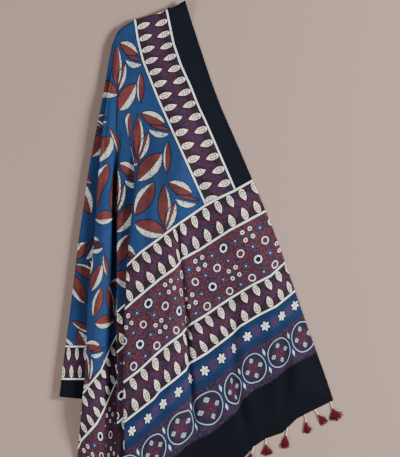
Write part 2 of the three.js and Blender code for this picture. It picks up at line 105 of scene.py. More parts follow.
# While the pleats are closed, where each group of their points ends, as a share of the way to the
# next line
CLOSED_STRIP = 0.3
STRIP_MIDDLE = 0.5
CLOSED_SECOND = 0.7
CLOSED_SIDE = (0.3, 0.8)
FLANK_OPENS = 0.6
FOLD_LINES = {
    "y": [491, 446, 395, 324, 255, 188, 117, 55, -25, -119, -201, -283, -369, -491, -648],
    "neck": [-32, -18, -1, 22, 48, 78, 108, 135, 167, 200, 228, 258, 288, 288, 288],
    "ridge": [
        -142, -140, -138, -137, -137, -137, -138, -143, -151, -158, -161, -163, -163, -161, -155,
    ],
    "inner": [
        -151, -151, -155, -163, -170, -175, -178, -178, -178, -178, -178, -178, -178, -177, -170,
    ],
    "foot": [
        -163, -163, -170, -175, -177, -180, -182, -184, -187, -191, -194, -198, -199, -200, -203,
    ],
    "second": [
        -177, -177, -183, -195, -204, -211, -217, -222, -225, -238, -242, -243, -252, -264, -268,
    ],
    "side": [
        -189, -189, -189, -202, -214, -228, -241, -249, -261, -272, -282, -293, -303, -303, -303,
    ],
}
LINE_ENDS = {
    "neck": (491, -371),
    "ridge": (446, -648),
    "inner": (440, -594),
    "foot": (430, -556),
    "second": (412, -508),
    "side": (395, -362),
}
HEM_WAVE = {
    "along": [0, 0.1, 0.18, 0.25, 0.33, 0.39, 0.44, 0.6, 0.75, 1],
    "inwards": [0, 6, 10, -1, 9, 8, -3, 6, -3, 0],
}
BACK_EDGE = [
    (215, -325), (100, -395), (-20, -440), (-110, -425), (-190, -380), (-225, -352), (-258, -345),
]
BACK_INSET = 8
BACK_HEM_INSET = 12
ROLL_ANGLES = [50, 15, -20, -55, -90]
BACK_TURN_ANGLES = [45, 0, -45, -90]

# Soft creases of the top panel: three points of a line in the plan, depth and width of the trough.
# The first three run where the CAD model's do, the others are finer.
CREASE_START = (-0.5, 0.3)
CREASE_END = (0.9, 1.4)
CREASE_RIM = 0.6  # height of the swelling beside a trough, as a share of its depth
CREASE_RIM_AWAY = 2  # and its distance, in widths of the trough
CREASE_CLEAR = 20  # creases grow within this far of the ridge, in mm
CREASES = table("x y depth width", [
    ((69, 72, 110), (-200, -340, -470), 4.5, 12),
    ((178, 181, 186), (-210, -310, -430), 3.5, 12),
    ((20, 45, 69), (60, -60, -200), 2, 22),
    ((-52, -44, -30), (10, -78, -219), 4.5, 11),
    ((-30, -26, -12), (-219, -298, -420), 3.5, 12),
    ((-50, -42, -28), (10, -78, -219), 3, 5),
    ((-28, -24, -10), (-219, -298, -420), 2.5, 5),
    ((-112, -118, -120), (240, 20, -330), 2.2, 9),
    ((-88, -92, -84), (180, -40, -420), 1.8, 13),
    ((120, 128, 150), (-150, -260, -400), 1.6, 16),
])

# How finely the folds are cut
ROWS = 165
PANEL_STEPS = 128
TURN_STEPS = 6
FLANK_STEPS = 15
THIRD_STEPS = 10
BACK_STEPS = 3
SMOOTHING_ROWS = 9
HEADING_REACH = 2  # points on each side that give the fold's heading
FRONT_LENGTH = 1000  # from the shoulder to the front hem, for the hem's stitching, in mm
BACK_HEM_AWAY = 500.0  # the hidden layers show no hem

# The print, in photograph pixels where a table says so, and in mm elsewhere. First come how far
# below the first band line the next bands and the black end start.
DOTS_BELOW = 73
LEAVES_BELOW = 198
FLOWERS_BELOW = 270
CIRCLES_BELOW = 327
BLACK_BELOW = 413
# Lines across the top panel between its end bands, from left to right, in pixels. "below" is how far
# each one lies below the first on the flat cloth.
BAND_LINES = [
    {
        "below": 0,
        "x": [129, 141, 157.6, 173, 191.5, 206, 220, 234, 252.5],
        "y": [264, 252, 240, 228, 215, 205, 197.4, 191, 180.5],
    },
    {
        "below": DOTS_BELOW,
        "x": [124.8, 135.3, 160, 173.7, 177.7, 182.3, 200, 230, 266.5],
        "y": [309, 299.4, 278.7, 269, 265, 258.6, 249.4, 230, 210.5],
    },
    {
        "below": LEAVES_BELOW,
        "x": [124, 140, 156, 168.8, 182.2, 187.3, 190.6, 205, 230, 252.6, 270.7, 285.8],
        "y": [381.5, 369, 353.8, 343, 333.4, 327, 324.3, 315.5, 298.6, 285, 276, 262.3],
    },
    {
        "below": FLOWERS_BELOW,
        "x": [124.5, 137, 154.4, 159.5, 171, 186, 189, 207, 232.9, 240.5, 258.6, 276.7, 291.9],
        "y": [421, 411, 397.4, 390.4, 381.5, 369.8, 363.6, 353, 333.4, 325.8, 315, 306, 294],
    },
    {
        "below": BLACK_BELOW,
        "x": [124.5, 170, 191.7, 211, 221, 234, 239, 243, 255, 271, 280, 291.5, 304],
        "y": [497, 461, 444, 435, 427, 416, 411, 401, 391, 383.4, 376, 367, 361],
    },
]
# Free side edge and the side border's two lines, from the shoulder down, in pixels
NECK_EDGE = {
    "y": [0, 94, 122, 154, 180, 210.5, 262, 293, 329, 353, 394, 457],
    "x": [185, 215, 228, 242, 252.6, 266.5, 285.8, 295.6, 308.5, 317.5, 333.4, 357],
}
OUTER_LINE = {
    "y": [10.8, 43, 65.5, 86.1, 107.6, 120, 187],
    "x": [166.8, 173.3, 181, 190.5, 199, 205, 234],
}
INNER_LINE = {
    "y": [21.1, 39.6, 60.3, 82.7, 101.6, 117, 160, 202],
    "x": [135.2, 137.9, 143, 151.7, 159.4, 166.3, 185.5, 204.6],
}
BORDER_WAY = (0.3605, 0.933)  # the way the side border runs, down the photograph
BORDER_START = (204.6, 202)  # where its inner line meets the first band line
SELVEDGE = 47  # plain strip outside the side border
BAND = 73  # width of a band of leaves
BAND_CREASES = [  # creases that swallow some of the bands' length, in pixels, mm
    {"y": [225, 265, 330, 367, 420], "x": [175, 180, 185, 188, 193], "hidden": [8, 24, 28, 16, 14]},
    {"y": [320, 348, 388, 410, 447], "x": [232, 234, 232, 240, 254], "hidden": [0, 14, 16, 14, 12]},
]
CREASE_REACH = 9
BAND_STRETCH = 2.133  # mm of cloth along the bands for one pixel across
ABOVE_STRETCH = 0.9  # how much the cloth shrinks above the first band line
EDGE_SHIFT = 11  # how far the free side turns under, in mm
EDGE_TURNS = (262, 300)  # pixels down between which it does so
BAND_FITS = [  # how far the folds carry each band along, in pixels, mm
    {
        "below": 100,
        "x": [136, 147, 158, 168, 183, 194, 206, 218, 230, 242, 254, 275],
        "shift": [9.9, 6.9, 2.8, 1.4, 6.4, 6.1, 5.5, 2.5, 2, -1, -4, -8],
    },
    {
        "below": 298,
        "x": [133, 149, 164, 179, 190, 205, 222, 234, 247, 266, 282, 295],
        "shift": [-2.6, -2.9, -1.3, 3.1, -0.5, 0.5, -3.7, -2.3, -4.1, -8, -8.1, 0],
    },
    {"below": 345, "x": [181, 210, 233, 254, 280, 302], "shift": [13, -9.3, -9.7, -6.3, -4.4, 6.4]},
]
LEAF_PITCH = 30
BORDER_LEAVES = {"down": [-186.7, -139.6, -87.7, -15], "leaf": [0, 4, 8, 13]}
DEEP = 400.0  # a place well inside the field, away from border and bands
FIELD_SQUEEZE = (138, 1.3)  # left of this pixel the field turns away and looks narrower
FIELD_HUB = (165.8, 181.0)  # where one hub of the field's leaves lies, in pixels
STRIP_SHIFT = 66  # cloth hidden in the first pleat, in mm
STRIP_DROP = 36  # how much lower the strip's bands lie, in pixels
# Pixels down between which each panel's print leaves the top panel's, as the pleats open
STRIP_PARTS = (100, 150)
SECOND_PARTS = (184, 214)
THIRD_PARTS = (106, 126)
SECOND_LINES = [  # the same lines on the second panel, in pixels
    {"below": 0, "x": [84, 87.6, 101, 108], "y": [392, 387, 370, 353]},
    {"below": DOTS_BELOW, "x": [78, 81.5, 97.4, 103, 108], "y": [448.6, 440, 422, 411, 400]},
    {"below": LEAVES_BELOW, "x": [78, 81.5, 97.4, 103, 108], "y": [548, 540, 520, 509, 496]},
]
SECOND_HUB = (105, 225)
SECOND_WAY = (0.69, 0.724)  # the way its print runs, down the photograph
SECOND_MOTIF = 217.6  # pixels down at which its print is centred
SECOND_STRETCH = 1.75  # how much cloth a pixel across and down shows there
SECOND_DOWN = 1.28
SECOND_LEAN = 0.128
SECOND_SHIFT = (68, -84)
THIRD_HUB = (70, 262)
THIRD_STRETCH = 1.3
THIRD_CELLS = (3, 1.5)
THIRD_LINES = {"y": [346.5, 379, 398.5], "across": [120, 47, 0]}
THIRD_LEAF = (77, 3.6)  # where one leaf of its border lies, and mm of cloth a pixel

# Leaves of the field's repeat: their two tips as (away from the free side, towards the shoulder),
# width, and thickness of the pale crescent on the side "turn" (+1 left of the way from tip to tip).
# Of a bare leaf only the crescent is printed. Each next column of cells lies half a cell higher.
CELL = 161
LEAVES = table("start end width pale turn bare", [
    ((-4, -5), (-43, -46), 28, 11, 1),
    ((-11, -37), (-51, -64), 9, 0, 1),
    ((-5, -44), (-43, -70), 26, 14, -1, True),
    ((-34, 77), (-8, 14), 17, 5, -1),
    ((-14, 58), (58, 21), 40, 15, 1),
    ((-3, 110), (38, 61), 22, 9, 1),
    ((5, -6), (38, -92), 27, 6, 1),
    ((24, 5), (90, -45), 36, 10, -1),
    ((96, -61), (41, -106), 38, 13, -1),
])

# Tassels, as in the CAD model, and their yarn
TASSELS = table("along turn thread tuft spread", [
    (0.015, 22, 15, 30, 72),
    (0.093, 38, 14, 28, 46),
    (0.14, 10, 16, 27, 46),
    (0.225, -10, 17, 30, 50),
    (0.332, 5, 12, 27, 72),
    (0.39, -18, 15, 28, 50),
    (0.475, 8, 16, 29, 64),
    (0.56, -12, 14, 28, 58),
    (0.64, 15, 16, 30, 60),
    (0.725, -6, 15, 27, 66),
    (0.8, 10, 17, 29, 58),
    (0.885, -10, 18, 28, 60),
])
HEAD_LENGTH = 5
HEAD_THICK = 5
HEAD_RADIUS = (0.9, 1.5)  # of its core at the ends, and how much more in the middle
HEAD_SWELL = (0.62, 0.12)
HEAD_STEPS = 8
HEAD_SIDES = 12
THREAD_RADIUS = 1.2
THREAD_LIFT = 0.1
PLIES = 3
PLY_RADIUS = 0.55  # as a share of the thread's
PLY_STEPS = 32
PLY_SIDES = 6
TWIST_RADIUS = 0.62
TWIST = 0.75  # radians a mm
WRAPS = 4  # turns of the yarn that binds the head
WRAP_START = 3.1
WRAP_PITCH = 0.42
WRAP_RADIUS = 2.2
WRAP_YARN = 0.3
WRAP_STEPS = 16
WRAP_SIDES = 5
YARNS = 96
YARN_RADIUS = 0.65
YARN_THINS = 0.3  # share of its radius that a yarn loses on the way to its tip
YARN_STEPS = 7
YARN_SIDES = 4
YARN_STRAYS = 9  # degrees to either side of a yarn's place in the fan
YARN_REACH = (0.5, 1.0)  # shares of the tuft's length
YARN_BEND = 3.4
YARN_CURL = (2.5, 6.0)
YARN_START = (1.6, 1.5)  # how far inside the head the yarns start, and how far aside
YARN_BEYOND = 1.5
SIDE_LOWERS = 0.45  # shares of height and length that the outer yarns lose
SIDE_SHORTENS = 0.1
PILE = (4.2, 1.6)  # the tuft's height at the head, and what its tips lose of it
PILE_AT_HEAD = 2.4
PILE_LIFT = 0.05
YARN_DROPS = 2.2  # how fast a yarn comes down from the head, per length
THREAD_SLOT, TUFT_SLOT = 0, 1  # the tassels' two materials

# Camera, lights and floor, in metres
CAMERA_HEIGHT = 3.2
SENSOR = 24  # in mm
FRAME_LEVEL = 0.015  # height at which the picture has the photograph's scale
FLOOR_SIZE = 12
LIGHTS = table("name place size energy color", [
    ("key", (2.9, 0.6, 1.8), 0.9, 222, (1.0, 0.99, 0.98)),
    ("fill", (-2.8, -0.6, 1.6), 1.2, 98, (0.98, 0.99, 1.0)),
    ("low", (2.6, -2.0, 1.7), 1.2, 40, (1.0, 1.0, 1.0)),
])
SKY = {"Color": (0.9, 0.92, 1.0, 1), "Strength": 0.1}


# Helpers
def mix(a, b, share):
    return a + (b - a) * share


def smooth(value, start, end):
    share = np.clip((value - start) / (end - start), 0, 1)
    return share * share * (3 - 2 * share)


def grown(stage, t):
    """How far a fold has grown, a share t of the way down."""
    return smooth(t, *STAGES[stage])


def read(xs, ys, at):
    """Straight-line reading of a table, carried on past its ends."""
    xs = np.asarray(xs, float)
    ys = np.asarray(ys, float)
    at = np.asarray(at, float)
    inside = np.interp(at, xs, ys)
    first = (ys[1] - ys[0]) / (xs[1] - xs[0])
    last = (ys[-1] - ys[-2]) / (xs[-1] - xs[-2])
    before = np.minimum(at - xs[0], 0) * first
    after = np.maximum(at - xs[-1], 0) * last
    return inside + before + after


def soften(values, reach):
    """A running mean that keeps the two ends."""
    before = 2 * values[0] - values[reach:0:-1]
    after = 2 * values[-1] - values[-2:-reach - 2:-1]
    padded = np.concatenate([before, values, after])
    kernel = np.hanning(2 * reach + 3)[1:-1]
    return np.convolve(padded, kernel / kernel.sum(), "valid")


def fold_lines():
    """Places of each fold line, row by row from the shoulder down."""
    shares = np.linspace(0, 1, ROWS + 1)
    heights = FOLD_LINES["y"][::-1]
    lines = {}
    for name, (top, bottom) in LINE_ENDS.items():
        y = mix(top, bottom, shares)
        x = np.interp(y, heights, FOLD_LINES[name][::-1])
        lines[name] = (soften(x, SMOOTHING_ROWS), y)
    return lines


def crease_depth(x, y):
    depth = np.zeros_like(x)
    for crease in CREASES:
        (x1, x2, x3), (y1, y2, y3) = crease["x"], crease["y"]
        upper = (y - y1) / (y2 - y1)
        lower = (y - y2) / (y3 - y2)
        line_x = np.where(lower > 0, mix(x2, x3, lower), mix(x1, x2, upper))
        away = (x - line_x) / crease["width"]
        fade = smooth(upper, *CREASE_START) * (1 - smooth(lower, *CREASE_END))
        rim = CREASE_RIM * np.exp(-((away - CREASE_RIM_AWAY) ** 2))
        depth += crease["depth"] * fade * (np.exp(-away * away) - rim)
    return depth


def pleats_at(t):
    """How far each group of pleats has opened, and its heights, a share t of the way down."""
    flatten = grown("flatten", t)
    turn = mix(PLEAT_TURN, PLEAT_TURN_END, grown("hairpins", t))
    floor = mix(PLEAT_FLOOR, REST, flatten)
    roundness = mix(1, FLATTENED, flatten)
    return {
        "turn": turn,
        "floor": floor,
        "ridge_turn": RIDGE_ROUND * turn,
        "top": floor + TOP_LEVEL * turn,
        "open": grown("pleats", t),
        "ridge_tuck": RIDGE_TUCK * grown("ridge_tuck", t) + 2 * turn,
        "inner_tuck": INNER_TUCK * grown("inner_tuck", t) + 2 * turn,
        "second_open": grown("second", t),
        "second_turn": mix(SECOND_TURN_START, SECOND_TURN, grown("second_round", t)) * roundness,
        "second_tuck": SECOND_TUCK * grown("second_tuck", t) + 2 * turn,
        "second_under": mix(FRONT_LEVEL + 2 * turn, REST, flatten),
        "crest": SECOND_CREST * grown("crest", t) * roundness,
    }


def panel_height(x, y, t, along, ridge_x, neck_x, pleats):
    """Height of the top panel's middle surface."""
    pleat_height = mix(FRONT_LEVEL, pleats["top"], pleats["open"])
    from_ridge = x - ridge_x
    on_pleats = 1 - smooth(from_ridge, PLATEAU, PLATEAU + STEP_WIDTH)
    loft = LOFT * np.sin(np.pi * np.clip(from_ridge / PLATEAU, 0, 1)) * pleats["open"]
    neck_top, neck_bottom = LINE_ENDS["neck"]
    hem_away = (1 - t) * (neck_top - neck_bottom)
    margin = np.minimum((neck_x - x) / NECK_MARGIN, mix(hem_away / HEM_MARGIN, 1, on_pleats))
    raised = np.maximum(smooth(margin, 0, 1), 1 - grown("shoulder", t))
    creases = crease_depth(x, y)
    plain = mix(REST, FRONT_LEVEL - creases, raised)
    fine = creases * pleats["open"] * smooth(from_ridge, 0, CREASE_CLEAR)
    return mix(plain, pleat_height + loft - fine, on_pleats * smooth(along, *PANEL_RISE))


def turn_points(x, z, radius, first, last):
    """Points of a hairpin seen along the fold."""
    angles = np.radians(np.linspace(first, last, TURN_STEPS + 1))
    return [(x + radius * math.cos(a), z + radius * math.sin(a)) for a in angles]


def blend_group(folded, start, end, opened):
    """One group of folded points (x, z) or (x, z, y), from its open shape to the plain, flat one."""
    points = []
    for i, point in enumerate(folded):
        share = (i + 1) / len(folded)
        plain_y = mix(start[1], end[1], share)
        y = mix(plain_y, point[2], opened) if len(point) > 2 else plain_y
        x = mix(mix(start[0], end[0], share), point[0], opened)
        points.append((x, y, mix(FRONT_LEVEL, point[1], opened)))
    return points


def back_level(layer):
    return REST + (UNDER_LAYERS - 1 - layer) * UNDER_STEP


def front_row(j, lines):
    """The front across its fan of pleats: its points, and each one's zone, which counts the
    visible panels from the free side: 0 the top panel, 1 the strip, 2 and 3 the other panels."""
    t = j / ROWS
    places = [(lines[name][0][j], lines[name][1][j]) for name in LINE_ENDS]
    neck, ridge, inner, foot, second, side = places
    pleats = pleats_at(t)
    turn, ridge_turn, second_turn = pleats["turn"], pleats["ridge_turn"], pleats["second_turn"]
    opened = pleats["open"]

    along = np.linspace(0, 1, PANEL_STEPS + 1)
    panel_end = ridge[0] + ridge_turn * opened
    x = mix(neck[0], panel_end, along)
    wave = np.interp(along, HEM_WAVE["along"], HEM_WAVE["inwards"]) * grown("hem_wave", t)
    sag = SHOULDER_SAG * np.sin(np.pi * along) * (1 - grown("shoulder", t))
    y = mix(neck[1], ridge[1], along) + wave - sag
    z = panel_height(x, y, t, along, ridge[0], neck[0], pleats)
    points = list(zip(x, y, z))
    zones = [0] * len(points)

    strip_top = pleats["floor"] + STRIP_LEVEL * turn
    strip_start = (mix(inner[0], ridge[0], CLOSED_STRIP), inner[1])
    ridge_fold = [
        *turn_points(ridge[0] + ridge_turn, pleats["top"] - ridge_turn, ridge_turn, 90, 270)[1:],
        *turn_points(ridge[0] + pleats["ridge_tuck"] - turn, strip_top + turn, turn, 90, -90),
        (mix(inner[0], ridge[0], STRIP_MIDDLE), strip_top),
    ]
    points += blend_group(ridge_fold, ridge, strip_start, opened)
    zones += [0] * TURN_STEPS + list(np.linspace(0, 1, TURN_STEPS + 1)) + [1]

    inner_fold = [
        *turn_points(inner[0] + turn, strip_top - turn, turn, 90, 270),
        *turn_points(inner[0] + pleats["inner_tuck"] - turn, pleats["floor"] + turn, turn, 90, -90),
        (foot[0] + FOOT_FLAT, pleats["floor"]),
    ]
    points += blend_group(inner_fold, strip_start, foot, opened)
    zones += [1] * (TURN_STEPS + 1) + list(np.linspace(1, 2, TURN_STEPS + 1)) + [2]

    second_top = pleats["second_under"] + 2 * second_turn
    flank = []
    for i in range(1, FLANK_STEPS + 1):
        share = i / FLANK_STEPS
        rise = float(smooth(share, *FLANK_RISE))
        bulge = pleats["crest"] * math.sin(math.pi * share)
        flank.append((
            mix(foot[0], second[0] + second_turn, share),
            mix(pleats["floor"], second_top, rise) + bulge,
        ))
    near_second = (mix(foot[0], second[0], CLOSED_SECOND), mix(foot[1], second[1], CLOSED_SECOND))
    points += blend_group(flank, foot, near_second, max(opened, pleats["second_open"] * FLANK_OPENS))
    zones += [2] * FLANK_STEPS
    loop_x = float(np.interp(side[1], lines["second"][1][::-1], lines["second"][0][::-1]))
    loop_x += pleats["second_tuck"] - turn
    crest_x, crest_z = second[0] + second_turn, second_top - second_turn
    crest_points = turn_points(crest_x, crest_z, second_turn, 90, 270)
    loop_points = turn_points(loop_x, FRONT_LEVEL + turn, turn, 90, -90)
    second_fold = [(*point, second[1]) for point in crest_points[1:]]
    second_fold += [(*point, side[1] - LOOP_INSET) for point in loop_points]
    near_side = (mix(second[0], side[0], CLOSED_SIDE[0]), mix(second[1], side[1], CLOSED_SIDE[1]))
    points += blend_group(second_fold, near_second, near_side, pleats["second_open"])
    zones += [2] * TURN_STEPS + list(np.linspace(2, 3, TURN_STEPS + 1))

    side_edge = side[0] + (FRONT_LEVEL - back_level(0)) / 2
    last = points[-1]
    for i in range(1, THIRD_STEPS + 1):
        share = i / THIRD_STEPS
        z = FRONT_LEVEL + THIRD_LOFT * math.sin(math.pi * share) * pleats["second_open"]
        points.append((mix(last[0], side_edge, share), mix(last[1], side[1], share), z))
    zones += [3] * THIRD_STEPS
    return points, zones


def lengths_along(points):
    """How far along a line each of its points lies."""
    return np.concatenate([[0], np.cumsum(np.linalg.norm(np.diff(points, axis=0), axis=1))])


def along_path(points, shares):
    """Points at shares of a line's length."""
    points = np.asarray(points, float)
    lengths = lengths_along(points)
    at = np.asarray(shares) * lengths[-1]
    return np.stack([np.interp(at, lengths, points[:, k]) for k in range(points.shape[1])], axis=1)


def back_column(fold, outwards, edge):
    """The hidden back layers behind one point of the shoulder and side fold."""
    column = []
    roll = (fold[2] - back_level(0)) / 2
    for angle in np.radians(ROLL_ANGLES):
        point = fold + outwards * roll * math.cos(angle)
        point[2] = back_level(0) + roll + roll * math.sin(angle)
        column.append(point)
    flat_fold = np.array([fold[0], fold[1], 0])
    inwards = (edge - flat_fold) / np.linalg.norm(edge - flat_fold)
    near_turn = flat_fold + inwards * BACK_INSET
    runs = [(flat_fold, edge), (edge, near_turn), (near_turn, edge - inwards * BACK_HEM_INSET)]
    radius = UNDER_STEP / 2
    for layer, (start, end) in enumerate(runs):
        heading = (end - start) / np.linalg.norm(end - start)
        last = layer == UNDER_LAYERS - 1
        run_end = end if last else end - heading * radius
        run_start = start if layer == 0 else start + heading * radius
        for i in range(1, BACK_STEPS + 1):
            point = mix(run_start, run_end, i / BACK_STEPS)
            point[2] = back_level(layer)
            column.append(point)
        if not last:
            for angle in np.radians(BACK_TURN_ANGLES):
                point = run_end + heading * radius * math.cos(angle)
                point[2] = back_level(layer) - radius + radius * math.sin(angle)
                column.append(point)
    return column


# Where each point of the cloth lies on the print
def lines_below(lines, x, y):
    """How far below the first band line a point lies, in mm of cloth."""
    heights = [read(line["x"], line["y"], x) for line in lines]
    below = (y - heights[0]) * PIXEL * ABOVE_STRETCH
    for upper, lower, line, next_line in zip(heights, heights[1:], lines, lines[1:]):
        share = (y - upper) / np.maximum(lower - upper, 1)
        between = mix(line["below"], next_line["below"], share)
        below = np.where(y > upper, between, below)
    return below


def line_at(line, y):
    """Where a line that runs down the photograph crosses the height y."""
    return read(line["y"], line["x"], y)


def along_bands(x, y, below):
    """How far along the bands from the free side a point lies, in mm of cloth."""
    neck = line_at(NECK_EDGE, y)
    along = (neck - x) * BAND_STRETCH + EDGE_SHIFT * smooth(y, *EDGE_TURNS)
    for crease in BAND_CREASES:
        line_x = line_at(crease, y)
        hidden = np.interp(y, crease["y"], crease["hidden"])
        along += hidden * smooth(line_x - x, -CREASE_REACH / 2, CREASE_REACH / 2)
    shifts = [np.interp(x, fit["x"], fit["shift"]) for fit in BAND_FITS]
    shift = shifts[0]
    for fit, next_fit, next_shift in zip(BAND_FITS, BAND_FITS[1:], shifts[1:]):
        shift = mix(shift, next_shift, smooth(below, fit["below"], next_fit["below"]))
    return along - shift


def turned(x, y, hub, way):
    """Distances from a hub across and against a way down the photograph, in mm."""
    across = -((x - hub[0]) * way[1] - (y - hub[1]) * way[0]) * PIXEL
    up = -((x - hub[0]) * way[0] + (y - hub[1]) * way[1]) * PIXEL
    return across, up


def border_across(x, y):
    """How far from the free side a point of the top panel's side border lies."""
    neck = line_at(NECK_EDGE, y)
    outer = line_at(OUTER_LINE, y)
    inner = line_at(INNER_LINE, y)
    plain = SELVEDGE * (neck - x) / (neck - outer)
    band = SELVEDGE + BAND * (outer - x) / (outer - inner)
    field = SELVEDGE + BAND + (inner - x) * PIXEL * BORDER_WAY[1]
    return np.where(x > outer, plain, np.where(x > inner, band, field))


def print_places(points, zones):
    """Six numbers a point: across and along the side border, along and below the end bands, across
    and up the field."""
    x = PHOTO_WIDTH / 2 + points[:, 0] / PIXEL
    y = PHOTO_HEIGHT / 2 - points[:, 1] / PIXEL
    _, border_up = turned(x, y, BORDER_START, BORDER_WAY)
    border_along = read(BORDER_LEAVES["down"], BORDER_LEAVES["leaf"], -border_up / PIXEL) * LEAF_PITCH
    squeeze_start, squeeze = FIELD_SQUEEZE
    field_x = np.where(x > squeeze_start, x, squeeze_start + (x - squeeze_start) * squeeze)
    field_across, field_up = turned(field_x, y, FIELD_HUB, BORDER_WAY)
    below = lines_below(BAND_LINES, x, y)
    top = [
        border_across(x, y), border_along,
        along_bands(x, y, below), below,
        field_across, field_up,
    ]
    deep = np.full_like(x, DEEP)
    strip_y = y - STRIP_DROP
    strip_below = lines_below(BAND_LINES, x, strip_y)
    strip = [
        deep, border_along,
        along_bands(x, strip_y, strip_below) + STRIP_SHIFT, strip_below,
        field_across + STRIP_SHIFT, field_up,
    ]
    down = y - SECOND_MOTIF
    wide_x = SECOND_HUB[0] + (x + SECOND_LEAN * down - SECOND_HUB[0]) * SECOND_STRETCH
    second_across, second_up = turned(wide_x, SECOND_HUB[1] + down * SECOND_DOWN, SECOND_HUB, SECOND_WAY)
    second = [
        deep, second_up,
        second_across, lines_below(SECOND_LINES, x, y),
        second_across + SECOND_SHIFT[0] + CELL, second_up + SECOND_SHIFT[1] + CELL / 2,
    ]
    third = [
        read(THIRD_LINES["y"], THIRD_LINES["across"], y), (x - THIRD_LEAF[0]) * THIRD_LEAF[1],
        deep, -deep,
        (y - THIRD_HUB[1]) * PIXEL + THIRD_CELLS[0] * CELL,
        (THIRD_HUB[0] - x) * PIXEL * THIRD_STRETCH + THIRD_CELLS[1] * CELL,
    ]
    top, strip, second, third = (np.stack(panel, axis=1) for panel in (top, strip, second, third))
    strip = mix(top, strip, smooth(y, *STRIP_PARTS)[:, None])
    second = mix(strip, second, smooth(y, *SECOND_PARTS)[:, None])
    third = mix(top, third, smooth(y, *THIRD_PARTS)[:, None])
    panels = np.stack([top, strip, second, third])
    low = np.floor(zones).astype(int).clip(0, len(panels) - 2)
    share = (zones - low)[:, None]
    rows = np.arange(len(x))
    return mix(panels[low, rows], panels[low + 1, rows], share)


# The cloth's mesh
def skin_normals(points, faces):
    corners = points[faces]
    face_normals = np.cross(corners[:, 2] - corners[:, 0], corners[:, 3] - corners[:, 1])
    normals = np.zeros_like(points)
    for k in range(4):
        np.add.at(normals, faces[:, k], face_normals)
    lengths = np.linalg.norm(normals, axis=1, keepdims=True)
    return normals / np.maximum(lengths, 1e-9)


def grid_faces(index):
    """Quads of a grid of point numbers."""
    corners = [index[:-1, :-1], index[:-1, 1:], index[1:, 1:], index[1:, :-1]]
    return np.stack(corners, axis=-1).reshape(-1, 4)


def rim_faces(faces, count):
    """Quads that join the two skins along the cloth's free edges."""
    edges = np.concatenate([faces[:, [k, (k + 1) % 4]] for k in range(4)])
    known = {(a, b) for a, b in edges.tolist()}
    free = [(a, b) for a, b in known if (b, a) not in known]
    return np.array([(b, a, a + count, b + count) for a, b in sorted(free)])


def cloth_mesh():
    lines = fold_lines()
    rows = []
    for j in range(ROWS + 1):
        points, zones = front_row(j, lines)
        rows.append(points)
    front = np.array(rows, float)
    columns = front.shape[1]
    flat_front = front.reshape(-1, 3)
    zone_numbers = np.tile(np.array(zones, float), ROWS + 1)
    places = print_places(flat_front, zone_numbers)
    index = np.arange(len(flat_front)).reshape(ROWS + 1, columns)
    hem_away = np.repeat((1 - np.linspace(0, 1, ROWS + 1)) * FRONT_LENGTH, columns)

    away_from_neck = np.linalg.norm(front[0] - front[0, 0], axis=1)
    first_folded = int(np.argmax(away_from_neck > LOOSE_TOP))
    fold_index = np.concatenate([index[0, first_folded:], index[1:, -1]])
    folds = flat_front[fold_index]
    lengths = lengths_along(folds)
    edges = along_path([(x, y, 0) for x, y in BACK_EDGE], lengths / lengths[-1])
    back = []
    for i, fold in enumerate(folds):
        before = folds[max(i - HEADING_REACH, 0)]
        after = folds[min(i + HEADING_REACH, len(folds) - 1)]
        outwards = np.array([after[1] - before[1], before[0] - after[0], 0])
        back.append(back_column(fold, outwards / np.linalg.norm(outwards), edges[i]))
    back = np.array(back, float)
    steps = np.linalg.norm(np.diff(np.concatenate([folds[:, None], back], axis=1), axis=1), axis=2)
    beyond = np.cumsum(steps, axis=1)
    back_places = np.repeat(places[fold_index][:, None], back.shape[1], axis=1)
    for column, sign in ((1, -1), (3, -1), (5, 1)):
        back_places[:, :, column] += sign * beyond
    back_index = len(flat_front) + np.arange(back.shape[0] * back.shape[1]).reshape(back.shape[:2])
    with_fold = np.concatenate([fold_index[:, None], back_index], axis=1)

    points = np.concatenate([flat_front, back.reshape(-1, 3)])
    places = np.concatenate([places, back_places.reshape(-1, 6)])
    hem_away = np.concatenate([hem_away, np.full(back_index.size, BACK_HEM_AWAY)])
    faces = np.concatenate([grid_faces(index), grid_faces(with_fold)])
    normals = skin_normals(points, faces)
    skins = np.concatenate([points + normals * THICKNESS / 2, points - normals * THICKNESS / 2])
    under = faces[:, ::-1] + len(points)
    all_faces = np.concatenate([faces, under, rim_faces(faces, len(points))])
    skins[:, 0] -= MIDDLE[0]
    skins[:, 1] -= MIDDLE[1]
    hem = front[ROWS, :PANEL_STEPS + 1] - np.array([MIDDLE[0], MIDDLE[1], 0])
    return skins * MM, all_faces, np.tile(places, (2, 1)), np.tile(hem_away, 2), hem


def new_object(name, data):
    made = bpy.data.objects.new(name, data)
    bpy.context.scene.collection.objects.link(made)
    return made


def new_piece(name, points, faces, materials):
    mesh = bpy.data.meshes.new(name)
    mesh.from_pydata(points.tolist(), [], faces)
    mesh.polygons.foreach_set("use_smooth", [True] * len(faces))
    mesh.update()
    for material in materials:
        mesh.materials.append(material)
    return new_object(name, mesh)


# Materials
MIX_COLOURS = (6, 7)  # numbers of the Mix node's sockets for colours
MIX_RESULT = 2
OPERATIONS = {  # what a Term can do, and the Math node that does it
    "__add__": "ADD",
    "__radd__": "ADD",
    "__sub__": "SUBTRACT",
    "__mul__": "MULTIPLY",
    "__rmul__": "MULTIPLY",
    "__truediv__": "DIVIDE",
    "high": "MAXIMUM",
    "low": "MINIMUM",
    "size": "ABSOLUTE",
    "root": "SQRT",
    "nearest": "ROUND",
    "wave": "COSINE",
    "angle": "ARCTAN2",
    "over": "GREATER_THAN",
}


